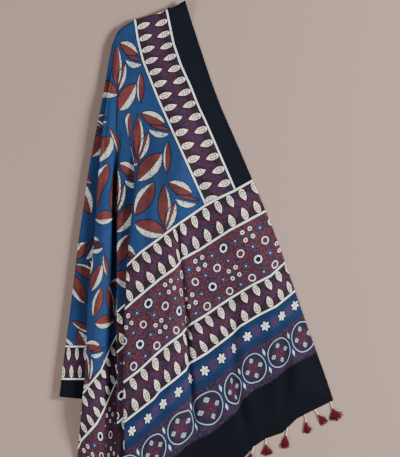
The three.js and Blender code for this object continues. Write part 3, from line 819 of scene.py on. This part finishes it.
class Term:
    """A number in a material. Its sums and products become Math nodes."""

    def __init__(self, tree, socket):
        self.tree = tree
        self.socket = socket

    def math(self, operation, *others):
        return math_node(self.tree, operation, self, *others)

    def __rsub__(self, other):
        return math_node(self.tree, "SUBTRACT", other, self)

    def __neg__(self):
        return self * -1

    def odd(self):
        return self.math("FLOORED_MODULO", 2)

    def waves(self, length):
        return (self * (2 * math.pi / length)).wave()

    def wrapped(self, period):
        """The distance to the nearest multiple of a period."""
        return self - (self / period).nearest() * period

    def soft(self, blur=0.8):
        """1 where the number is above 0, with a soft edge."""
        return math_node(self.tree, "MULTIPLY_ADD", self, 1 / blur, 0.5, clamp=True)

    def above(self, level, blur, strength):
        """A faint mask where the number is above a level."""
        return (self - level).soft(blur) * strength

    def below(self, level, blur, strength):
        return (level - self).soft(blur) * strength


for name, operation in OPERATIONS.items():
    setattr(Term, name, functools.partialmethod(Term.math, operation))


def feed(tree, socket, value):
    """Link a node's output to a socket, or set the socket's own value."""
    if isinstance(value, Term):
        value = value.socket
    if isinstance(value, bpy.types.NodeSocket):
        tree.links.new(value, socket)
    else:
        socket.default_value = value


def set_inputs(node, values):
    for name, value in values.items():
        feed(node.id_data, node.inputs[name], value)


def math_node(tree, operation, *values, clamp=False):
    node = tree.nodes.new("ShaderNodeMath")
    node.operation = operation
    node.use_clamp = clamp
    for socket, value in zip(node.inputs, values):
        feed(tree, socket, value)
    return Term(tree, node.outputs[0])


def srgb(red, green, blue):
    """A colour given as on a screen, 0 to 255, as Blender's linear one."""
    channels = []
    for value in (red, green, blue):
        share = value / 255
        channels.append(share / 12.92 if share <= 0.04045 else ((share + 0.055) / 1.055) ** 2.4)
    return (*channels, 1.0)


class Paint:
    """A colour that is painted over, mask by mask."""

    def __init__(self, tree, colour):
        self.tree = tree
        self.now = colour

    def over(self, colour, mask):
        node = self.tree.nodes.new("ShaderNodeMix")
        node.data_type = "RGBA"
        feed(self.tree, node.inputs["Factor"], mask)
        for number, value in zip(MIX_COLOURS, (self.now, colour)):
            feed(self.tree, node.inputs[number], value)
        self.now = node.outputs[MIX_RESULT]


def new_material(name):
    """A material, its node tree and its shader."""
    material = bpy.data.materials.new(name)
    material.use_nodes = True
    return material, material.node_tree, material.node_tree.nodes["Principled BSDF"]


def finish_material(shader, colour, looks, relief, bump_values):
    bump = shader.id_data.nodes.new("ShaderNodeBump")
    set_inputs(bump, {**bump_values, "Height": relief})
    set_inputs(shader, {**looks, "Base Color": colour, "Normal": bump.outputs["Normal"]})


def place_on_print(tree, name):
    """The three numbers of a point attribute."""
    node = tree.nodes.new("ShaderNodeAttribute")
    node.attribute_name = name
    split = tree.nodes.new("ShaderNodeSeparateXYZ")
    tree.links.new(node.outputs["Vector"], split.inputs[0])
    return [Term(tree, output) for output in split.outputs], node.outputs["Vector"]


def noise(tree, vector, scale, detail=2.0, rough=0.5):
    node = tree.nodes.new("ShaderNodeTexNoise")
    set_inputs(node, {"Vector": vector, "Scale": scale, "Detail": detail, "Roughness": rough})
    return Term(tree, node.outputs["Fac"])


def cells(tree, vector, scale):
    """Distance to the nearest of many scattered points, about 0 to 1."""
    node = tree.nodes.new("ShaderNodeTexVoronoi")
    set_inputs(node, {"Vector": vector, "Scale": scale})
    return Term(tree, node.outputs["Distance"])


# Colours, and the plain values of the materials
FIELD_BLUE = srgb(36, 66, 112)
FIELD_DEEP = srgb(26, 50, 86)
RUST = srgb(114, 56, 52)
RUST_DEEP = srgb(56, 34, 44)
CREAM = srgb(230, 232, 222)
BRIGHT_CREAM = srgb(252, 249, 234)
LINE_CREAM = srgb(240, 243, 244)
CREAM_DOT = srgb(52, 58, 72)
RED_EDGE = srgb(128, 44, 54)
NAVY = srgb(14, 20, 38)
BLACK = srgb(7, 10, 19)
SIDE_BLACK = srgb(8, 13, 23)
MAROON = srgb(96, 38, 52)
STRAND_RED = srgb(112, 42, 50)
BAND_GROUND = srgb(40, 34, 40)
BAND_BLUE = srgb(42, 62, 108)
DOTTED_GROUND = srgb(52, 44, 56)
WORM_RED = srgb(126, 50, 48)
PETAL_GREY = srgb(150, 168, 178)
DOTTED_BLUE = srgb(34, 44, 80)
STRIPE_BLUE = srgb(26, 52, 92)
STRIPE_NAVY = srgb(20, 30, 58)
CIRCLE_GROUND = srgb(56, 44, 60)
CIRCLE_INSIDE = srgb(46, 34, 50)
CIRCLE_LINE = srgb(164, 186, 204)
HALO_BLUE = srgb(30, 60, 104)
TUFT_RED = srgb(118, 4, 34)
TUFT_DEEP = srgb(52, 1, 16)
THREAD_CREAM = srgb(248, 238, 222)
THREAD_SHADE = srgb(200, 184, 164)
COTTON = {"Roughness": 0.86, "Specular IOR Level": 0.12, "Sheen Weight": 0.02, "Sheen Roughness": 0.5}
COTTON_BUMP = {"Strength": 0.35, "Distance": 0.0006}
YARN = {"Roughness": 0.8, "Specular IOR Level": 0.3, "Sheen Weight": 0.02}
YARN_BUMP = {"Strength": 0.4, "Distance": 0.0004}
FLOOR = {"Base Color": srgb(163, 139, 128), "Roughness": 0.9}

# Sizes of the print's motifs, in mm
LEAF_OUTLINE = 1.3  # half width of the line round a leaf of the field
LEAF_DIVIDER = 0.5  # half width of the line between its two parts
THINNEST = 0.5  # least half width of its rust part
BAND_LEAF = {"middle": 14.8, "pointed": 17, "rounded": 11.5, "half": 7.0}
BAND_LEAF_RIMS = [(BLACK, 3.2, 0.8), (RED_EDGE, 1.9, 0.9), (BLACK, 0.9, 1)]  # colour, width, strength
BEADS = {"pitch": 5.2, "away": 2.5, "radius": 1.8, "reach": 7.5}
VINE_START = 0.8  # of the fine vine on the bands' ground, in radians
VINE_SWING = 6
VINE_REACH = 13
STRAND_PITCH = 9
BORDER_SHIFTS = (10, 0)  # where the upper and the lower row of a band's leaves start
END_SHIFTS = (6, -9)
DOTS_PITCH = (29, 28.5)  # along and below
DOTS_START = (32.7, 25.4)
SMALL_RING_AWAY = 8.6
FLOWER_START = 22
FLOWER_PITCH = 43.2
FLOWER_LEVEL = 298  # how far below the first band line the flowers' middles lie
STRIPE_PITCH = 5
STRIPES_AWAY = 13
CIRCLE_START = 24
CIRCLE_PITCH = 71
CIRCLE_LEVEL = 367
CIRCLE_RADIUS = 31.5
PETALS_AWAY = 17.5
DROP_AWAY = 20
CIRCLES_DARKEN = 400  # how far below the first band line their band turns dark
LINE_HALF = 2.15
BORDER_LINE_HALF = 1.8
LINE_RIM = 1.65
WEAVE_PITCH = 0.9
HEM_STITCHES = 8  # how far from the hem its stitching runs


def far(v, u):
    """Distance from the middle of a motif."""
    return (v * v + u * u).root()


def disc(distance, radius, blur=0.8):
    return (radius - distance).soft(blur)


def ring(distance, outer, thick):
    return ((thick / 2) - (distance - (outer - thick / 2)).size()).soft(0.9)


def highest(masks):
    """The highest of several masks, some of which are missing."""
    return functools.reduce(Term.high, [mask for mask in masks if mask])


def leaf_arc(across, up, half_length, half_width):
    """Depth inside the arc along one side of a leaf, below 0 outside it."""
    radius = (half_length ** 2 + half_width ** 2) / (2 * half_width)
    return radius - far(across + (radius - half_width), up)


def field_leaf(across, up, leaf):
    """Masks of one leaf of the field: its body, its pale crescent and its dark outline."""
    (v1, u1), (v2, u2) = leaf["start"], leaf["end"]
    length = math.hypot(v2 - v1, u2 - u1)
    way_v, way_u = (v2 - v1) / length, (u2 - u1) / length
    v = across - (v1 + v2) / 2
    columns = (v / CELL).nearest()
    v = v - columns * CELL
    u = (up - (u1 + u2) / 2 - columns * (CELL / 2)).wrapped(CELL)
    lengthwise = v * way_v + u * way_u
    sideways = (v * way_u - u * way_v) * leaf["turn"]
    half = leaf["width"] / 2
    inside = leaf_arc(sideways.size(), lengthwise, length / 2, half)
    divider = leaf_arc(sideways, lengthwise, length / 2, max(half - leaf["pale"], THINNEST))
    leaf_mask = inside.soft()
    body = leaf_mask * divider.soft()
    pale = leaf_mask * (-divider).soft()
    outline = (LEAF_OUTLINE - inside.size()).soft()
    if leaf["pale"]:
        outline = outline.high((LEAF_DIVIDER - divider.size()).soft() * leaf_mask)
    if leaf.get("bare"):
        return None, pale, outline * (1.0 - divider).soft()
    return body, (pale if leaf["pale"] else None), outline


def field_print(tree, across, up, vector):
    """The field's leaves, rust and pale, on mottled blue."""
    paint = Paint(tree, FIELD_BLUE)
    paint.over(FIELD_DEEP, noise(tree, vector, 0.05, 3.0) * 0.9)
    leaves = [field_leaf(across, up, leaf) for leaf in LEAVES]
    rust, pale, outline = (highest(masks) for masks in zip(*leaves))
    paint.over(RUST, rust)
    paint.over(RUST_DEEP, rust * cells(tree, vector, 0.33).below(0.34, 0.2, 0.75))
    paint.over(RUST_DEEP, rust * noise(tree, vector, 0.02, 1.0).above(0.52, 0.15, 0.5))
    paint.over(CREAM, pale)
    net = cells(tree, vector, 0.42)
    paint.over(CREAM_DOT, pale * net.above(0.56, 0.16, 0.75))
    paint.over(CREAM_DOT, pale * net.below(0.2, 0.12, 0.6))
    paint.over(NAVY, outline * 0.8)
    return paint.now


def leaf_band(tree, along, depth, vector, shifts, width=BAND):
    """A band of two rows of pale leaves that point at each other."""
    paint = Paint(tree, BAND_GROUND)
    blotch = noise(tree, vector, 0.14, 3.0, 0.6)
    paint.over(MAROON, blotch.above(0.54, 0.12, 0.3))
    paint.over(BAND_BLUE, blotch.below(0.42, 0.12, 0.3))
    vine = depth - width / 2 + (along * (2 * math.pi / LEAF_PITCH) + VINE_START).wave() * VINE_SWING
    strands = vine.waves(STRAND_PITCH)
    near = (VINE_REACH - vine.size()).soft(5)
    broken = noise(tree, vector, 0.42, 1.0)
    paint.over(STRAND_RED, (strands - 0.45).soft(0.7) * near * broken.above(0.42, 0.1, 0.85))
    paint.over(BAND_BLUE, (-strands - 0.4).soft(0.7) * near * broken.below(0.58, 0.1, 0.85))
    paint.over(BLACK, cells(tree, vector, 0.3).below(0.36, 0.2, 0.7))
    lower = depth.over(width / 2)
    from_line = depth.low(width - depth)
    upper_shift, lower_shift = shifts
    place = (along - (lower * (lower_shift - upper_shift) + upper_shift)).wrapped(LEAF_PITCH)
    lengthwise = from_line - BAND_LEAF["middle"]
    pointed = (lengthwise / BAND_LEAF["pointed"]).high(0)
    rounded = (lengthwise / -BAND_LEAF["rounded"]).high(0)
    half = BAND_LEAF["half"] * (1 - pointed * pointed).high(0) * (1 - rounded * rounded).high(0).root()
    inside = half - place.size() - 0.4
    for colour, rim, strength in BAND_LEAF_RIMS:
        paint.over(colour, (inside + rim).soft() * strength)
    leaf = inside.soft(0.7)
    paint.over(BRIGHT_CREAM, leaf)
    from_bead = far(place.size() - BEADS["away"], lengthwise.wrapped(BEADS["pitch"]))
    beads = (BEADS["radius"] - from_bead).low(BEADS["reach"] - (lengthwise + 0.5).size())
    chevron = 0.9 - (lengthwise + 6.2 - place.size() * 0.7).size()
    paint.over(BLACK, leaf * beads.high(chevron).soft(0.7) * 0.95)
    return paint.now


def dotted_band(tree, along, below, vector):
    """Rings, toothed rings and small dots on a square grid."""
    paint = Paint(tree, DOTTED_GROUND)
    worms = noise(tree, vector, 0.24, 2.0, 0.6)
    paint.over(WORM_RED, worms.above(0.535, 0.07, 0.85))
    paint.over(DOTTED_BLUE, worms.below(0.4, 0.07, 0.8))
    paint.over(BLACK, cells(tree, vector, 0.27).below(0.3, 0.2, 0.6))
    column = (along - DOTS_START[0]) / DOTS_PITCH[0]
    row = (below - DOTS_BELOW - DOTS_START[1]) / DOTS_PITCH[1]
    near_column = column.nearest()
    near_row = row.nearest().high(0)
    v = (column - near_column) * DOTS_PITCH[0]
    u = (row - near_row) * DOTS_PITCH[1]
    odd_column = near_column.odd()
    odd_row = near_row.odd()
    distance = far(v, u)
    plain = (1 - odd_column) * odd_row
    motif = odd_column * (1 - odd_row)
    dotted = 1 - plain - motif
    toothed = motif * ((near_column - 1) / 2 + near_row / 2).odd()
    fours = motif - toothed
    paint.over(DOTTED_BLUE, disc(distance, 11.0, 2.0) * plain * 0.8)
    paint.over(MAROON, disc(distance, 5.6, 1.2) * plain * 0.8)
    paint.over(BRIGHT_CREAM, ring(distance, 8.0, 2.0) * plain)
    paint.over(HALO_BLUE, disc(distance, 5.4, 2.0) * dotted)
    paint.over(BRIGHT_CREAM, disc(distance, 1.3) * dotted * 0.85)
    teeth = (v.angle(u) * 8).wave() * 0.5
    paint.over(DOTTED_BLUE, disc(distance, 12.8, 2.0) * toothed)
    paint.over(BRIGHT_CREAM, ring(distance + teeth, 8.6, 3.0) * toothed)
    paint.over(NAVY, disc(distance, 4.9) * toothed)
    small = far(v.size() - SMALL_RING_AWAY, u.size() - SMALL_RING_AWAY)
    paint.over(DOTTED_BLUE, disc(small, 6.2, 1.2) * fours * 0.8)
    paint.over(BRIGHT_CREAM, ring(small, 4.3, 2.0) * fours)
    paint.over(HALO_BLUE, disc(small, 2.0) * fours)
    paint.over(HALO_BLUE, disc(distance, 2.4) * fours)
    return paint.now


def blue_band(tree, along, below, vector):
    """Pale flowers on blue, between fine stripes."""
    paint = Paint(tree, STRIPE_BLUE)
    u = below - FLOWER_LEVEL
    paint.over(STRIPE_NAVY, below.waves(STRIPE_PITCH).soft() * (u.size() - STRIPES_AWAY).soft(2) * 0.9)
    place = (along - FLOWER_START).wrapped(FLOWER_PITCH)
    between = (along - FLOWER_START - FLOWER_PITCH / 2).wrapped(FLOWER_PITCH)
    paint.over(MAROON, disc(far(between, u), 10, 6.0) * noise(tree, vector, 0.3).above(0.48, 0.1, 0.75))
    distance = far(place, u)
    lobes = (place.angle(u) * 3).wave().size()
    flower = 2.4 - distance + (lobes + lobes.root()) * 3.8
    paint.over(STRIPE_NAVY, disc(distance, 11.6, 1.5) * 0.9)
    paint.over(BRIGHT_CREAM, flower.soft(1.0))
    paint.over(RUST, disc(distance, 1.9) * 0.8)
    return paint.now


def circle_band(tree, along, below, vector):
    """Large thin circles with four flowers in each."""
    paint = Paint(tree, CIRCLE_GROUND)
    mottle = noise(tree, vector, 0.2, 3.0, 0.65)
    paint.over(STRIPE_NAVY, mottle.above(0.52, 0.08, 0.8))
    paint.over(RED_EDGE, mottle.below(0.43, 0.08, 0.45))
    v = (along - CIRCLE_START).wrapped(CIRCLE_PITCH)
    gap = (along - CIRCLE_START - CIRCLE_PITCH / 2).wrapped(CIRCLE_PITCH).size()
    u = below - CIRCLE_LEVEL
    distance = far(v, u)
    paint.over(STRIPE_BLUE, (14 - gap - u.size() * 0.35).soft(6) * 0.7)
    paint.over(STRIPE_NAVY, disc(distance, CIRCLE_RADIUS + 2, 2))
    paint.over(CIRCLE_INSIDE, disc(distance, CIRCLE_RADIUS - 2.5, 2))
    paint.over(RED_EDGE, disc(distance, 16, 8) * mottle.above(0.52, 0.1, 0.55))
    paint.over(STRIPE_BLUE, disc(distance, 26, 3) * mottle.below(0.42, 0.08, 0.8))
    paint.over(CIRCLE_LINE, ring(distance, CIRCLE_RADIUS, 1.9))
    petal_v = v.size().high(u.size()) - PETALS_AWAY
    petal_u = v.size().low(u.size())
    flower = far(petal_v, petal_u)
    petals = (petal_v.angle(petal_u) * 2.5).wave().size().root() * 3
    paint.over(STRIPE_NAVY, disc(flower, 6.6, 1.0))
    paint.over(PETAL_GREY, (2.4 - flower + petals).soft(1.0))
    paint.over(RUST, disc(flower, 1.1))
    drop = 2.8 - gap - (u.size() - DROP_AWAY).size() * 0.35
    paint.over(CREAM, drop.soft(1.0))
    paint.over(STRIPE_NAVY, (below - CIRCLES_DARKEN).soft(8) * mottle * 0.6)
    return paint.now


def band_line(paint, distance, half=LINE_HALF):
    """A pale line with thin dark edges."""
    paint.over(NAVY, (half + LINE_RIM - distance.size()).soft(1.0))
    paint.over(LINE_CREAM, (half - distance.size()).soft(0.9))


def cloth_material():
    material, tree, shader = new_material("printed_cotton")
    (border_v, border_u, hem_away), border_vector = place_on_print(tree, "border_place")
    (band_v, band_u, _), band_vector = place_on_print(tree, "band_place")
    (field_v, field_u, _), field_vector = place_on_print(tree, "field_place")

    paint = Paint(tree, field_print(tree, field_v, field_u, field_vector))
    border = leaf_band(tree, border_u, border_v - SELVEDGE, border_vector, BORDER_SHIFTS)
    paint.over(border, (SELVEDGE + BAND - border_v).soft())
    paint.over(SIDE_BLACK, (SELVEDGE - border_v).soft())
    band_line(paint, border_v - SELVEDGE, BORDER_LINE_HALF)
    band_line(paint, border_v - (SELVEDGE + BAND), BORDER_LINE_HALF)

    second_width = FLOWERS_BELOW - LEAVES_BELOW
    second_leaves = leaf_band(tree, band_v, band_u - LEAVES_BELOW, band_vector, END_SHIFTS, second_width)
    for start, colour in (
        (0, leaf_band(tree, band_v, band_u, band_vector, END_SHIFTS)),
        (DOTS_BELOW, dotted_band(tree, band_v, band_u, band_vector)),
        (LEAVES_BELOW, second_leaves),
        (FLOWERS_BELOW, blue_band(tree, band_v, band_u, band_vector)),
        (CIRCLES_BELOW, circle_band(tree, band_v, band_u, band_vector)),
    ):
        paint.over(colour, (band_u - start).soft())
    paint.over(BLACK, (band_u - BLACK_BELOW + noise(tree, band_vector, 0.1) * 6).soft(3))
    for below in (0, DOTS_BELOW, LEAVES_BELOW, FLOWERS_BELOW):
        band_line(paint, band_u - below)

    surface = tree.nodes.new("ShaderNodeTexCoord").outputs["Object"]
    paint.over(BLACK, (noise(tree, surface, 14.0, 4.0) - 0.42) * 0.45)
    threads = band_v.waves(WEAVE_PITCH) + band_u.waves(WEAVE_PITCH)
    slub = noise(tree, surface, 420.0)
    paint.over(BLACK, slub.above(0.55, 0.3, 0.18))
    relief = threads * 0.12 + slub * 0.5 + noise(tree, surface, 60.0, 3.0) * 1.2
    relief = relief + (hem_away - HEM_STITCHES).size().low(1.0) * 0.6
    finish_material(shader, paint.now, COTTON, relief, COTTON_BUMP)
    return material


def yarn_material(name, colour, deep, scale):
    material, tree, shader = new_material(name)
    surface = tree.nodes.new("ShaderNodeTexCoord").outputs["Object"]
    paint = Paint(tree, colour)
    paint.over(deep, noise(tree, surface, scale, 3.0) * 0.9)
    finish_material(shader, paint.now, YARN, noise(tree, surface, 2500.0), YARN_BUMP)
    return material


# Tassels
class Tubes:
    """Many closed tubes in one mesh, each along its own points."""

    def __init__(self):
        self.points = []
        self.faces = []
        self.slots = []

    def add(self, path, radii, sides, slot):
        path = np.asarray(path, float)
        start = len(self.points)
        for i, centre in enumerate(path):
            ahead = path[min(i + 1, len(path) - 1)] - path[max(i - 1, 0)]
            ahead /= np.linalg.norm(ahead)
            sideways = np.cross(ahead, (0, 0, 1))
            sideways /= np.linalg.norm(sideways)
            upwards = np.cross(sideways, ahead)
            for k in range(sides):
                angle = 2 * math.pi * (k + 0.5) / sides
                offset = sideways * math.cos(angle) + upwards * math.sin(angle)
                self.points.append(centre + offset * radii[i])
        for i in range(len(path) - 1):
            for k in range(sides):
                a = start + i * sides + k
                b = start + i * sides + (k + 1) % sides
                self.faces.append((a, b, b + sides, a + sides))
                self.slots.append(slot)
        last = start + (len(path) - 1) * sides
        self.faces.append(tuple(range(start + sides - 1, start - 1, -1)))
        self.faces.append(tuple(range(last, last + sides)))
        self.slots += [slot, slot]


def heading(degrees):
    turn = math.radians(degrees)
    return np.array([math.sin(turn), -math.cos(turn), 0])


def ply_path(ply, root, ahead, sideways, length):
    """One ply of the thread, twisted with the others from the hem to the head."""
    top = max(root[2], THREAD_RADIUS + THREAD_LIFT)
    path = []
    for i in range(PLY_STEPS + 1):
        share = i / PLY_STEPS
        spin = ply * 2 * math.pi / PLIES + share * length * TWIST
        point = root + ahead * length * share
        point[2] = mix(top, HEAD_THICK / 2, share ** 2)
        point += sideways * TWIST_RADIUS * math.cos(spin)
        point[2] += TWIST_RADIUS * math.sin(spin)
        path.append(point)
    return path


def wrap_path(wrap, head, ahead, sideways):
    """One turn of the yarn that binds the head."""
    path = []
    for i in range(WRAP_STEPS + 1):
        angle = 2 * math.pi * i / WRAP_STEPS
        point = head + ahead * (WRAP_START + wrap * WRAP_PITCH + WRAP_PITCH * i / WRAP_STEPS)
        point[2] = HEAD_THICK / 2 + WRAP_RADIUS * math.sin(angle)
        path.append(point + sideways * WRAP_RADIUS * math.cos(angle))
    return path


def yarn_path(head, ahead, sideways, row, rng):
    """One yarn of the tuft, from inside the head down to the floor."""
    side = rng.uniform(-1, 1)
    lift = rng.uniform(0, 1) * (1 - SIDE_LOWERS * abs(side))
    strays = rng.uniform(-YARN_STRAYS, YARN_STRAYS)
    yarn_ahead = heading(row["turn"] + side * row["spread"] / 2 + strays)
    length = row["tuft"] - HEAD_LENGTH + YARN_BEYOND
    reach = length * rng.uniform(*YARN_REACH) * (1 - SIDE_SHORTENS * abs(side))
    start = head + ahead * (HEAD_LENGTH - YARN_START[0]) + sideways * side * YARN_START[1]
    across = np.array([-yarn_ahead[1], yarn_ahead[0], 0])
    bend = rng.uniform(-YARN_BEND, YARN_BEND)
    curl = rng.uniform(*YARN_CURL)
    path = []
    for k in range(YARN_STEPS + 1):
        share = k / YARN_STEPS
        point = start + yarn_ahead * reach * share + across * bend * share * math.sin(share * curl)
        low = YARN_RADIUS + PILE_LIFT + lift * (PILE[0] - PILE[1] * share)
        at_head = HEAD_THICK / 2 + (lift - 0.5) * PILE_AT_HEAD
        point[2] = mix(at_head, low, min(share * YARN_DROPS, 1))
        path.append(point)
    return path


def tassel(name, root, row, rng, materials):
    """A twisted thread, a bound head and a tuft of yarns that lie on the floor."""
    tubes = Tubes()
    ahead = heading(row["turn"])
    sideways = np.array([-ahead[1], ahead[0], 0])
    for ply in range(PLIES):
        path = ply_path(ply, root, ahead, sideways, row["thread"])
        tubes.add(path, [THREAD_RADIUS * PLY_RADIUS] * len(path), PLY_SIDES, THREAD_SLOT)
    head = root + ahead * row["thread"]
    lift = np.array([0, 0, HEAD_THICK / 2 - head[2]])
    shares = np.linspace(0, 1, HEAD_STEPS + 1)
    core = [head + ahead * HEAD_LENGTH * share + lift for share in shares]
    swell = [math.sin(math.pi * min(share * HEAD_SWELL[0] + HEAD_SWELL[1], 1)) for share in shares]
    tubes.add(core, [HEAD_RADIUS[0] + HEAD_RADIUS[1] * more for more in swell], HEAD_SIDES, TUFT_SLOT)
    for wrap in range(WRAPS):
        path = wrap_path(wrap, head, ahead, sideways)
        tubes.add(path, [WRAP_YARN] * len(path), WRAP_SIDES, TUFT_SLOT)
    radii = [YARN_RADIUS * (1 - YARN_THINS * k / YARN_STEPS) for k in range(YARN_STEPS + 1)]
    for _ in range(YARNS):
        tubes.add(yarn_path(head, ahead, sideways, row, rng), radii, YARN_SIDES, TUFT_SLOT)
    piece = new_piece(name, np.array(tubes.points) * MM, tubes.faces, materials)
    piece.data.polygons.foreach_set("material_index", tubes.slots)
    return piece


# Camera, light and floor
def stage_and_camera():
    centre = Vector((-MIDDLE[0] * MM, -MIDDLE[1] * MM, 0))
    lens = bpy.data.cameras.new("camera")
    camera = new_object("camera", lens)
    camera.location = centre + Vector((0, 0, CAMERA_HEIGHT))
    lens.sensor_fit = "VERTICAL"
    lens.sensor_height = SENSOR
    lens.lens = SENSOR * (CAMERA_HEIGHT - FRAME_LEVEL) / (PHOTO_HEIGHT * PIXEL * MM)
    bpy.context.scene.camera = camera

    bpy.ops.mesh.primitive_plane_add(size=FLOOR_SIZE, location=(0, 0, 0))
    floor = bpy.context.object
    floor.name = "floor"
    material, _, shader = new_material("pale_floor")
    set_inputs(shader, FLOOR)
    floor.data.materials.append(material)

    for row in LIGHTS:
        lamp = bpy.data.lights.new(row["name"], "AREA")
        for name in ("size", "energy", "color"):
            setattr(lamp, name, row[name])
        light = new_object(row["name"], lamp)
        light.location = row["place"]
        light.rotation_euler = (centre - light.location).to_track_quat("-Z", "Y").to_euler()
    world = bpy.data.worlds.new("studio")
    world.use_nodes = True
    set_inputs(world.node_tree.nodes["Background"], SKY)
    bpy.context.scene.world = world


stage_and_camera()
points, faces, places, hem_away, hem = cloth_mesh()
cloth = new_piece("printed_cloth", points, faces.tolist(), [cloth_material()])
zeros = np.zeros(len(places))
attributes = {"border_place": hem_away, "band_place": zeros, "field_place": zeros}
for number, (name, third) in enumerate(attributes.items()):
    values = np.column_stack([places[:, 2 * number:2 * number + 2], third])
    attribute = cloth.data.attributes.new(name, "FLOAT_VECTOR", "POINT")
    attribute.data.foreach_set("vector", values.astype(np.float32).ravel())
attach(cloth, "root")
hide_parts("cloth")

yarns = [
    yarn_material("thread_yarn", THREAD_CREAM, THREAD_SHADE, 500.0),
    yarn_material("tuft_yarn", TUFT_RED, TUFT_DEEP, 260.0),
]
rng = random.Random(7)
for number, row in enumerate(TASSELS, start=1):
    place = row["along"] * PANEL_STEPS
    i = min(int(place), PANEL_STEPS - 1)
    root = mix(hem[i], hem[i + 1], place - i)
    piece = tassel(f"yarn_tassel_{number:02d}", root, row, rng, yarns)
    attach(piece, "root")
    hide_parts(f"tassel_{number:02d}")
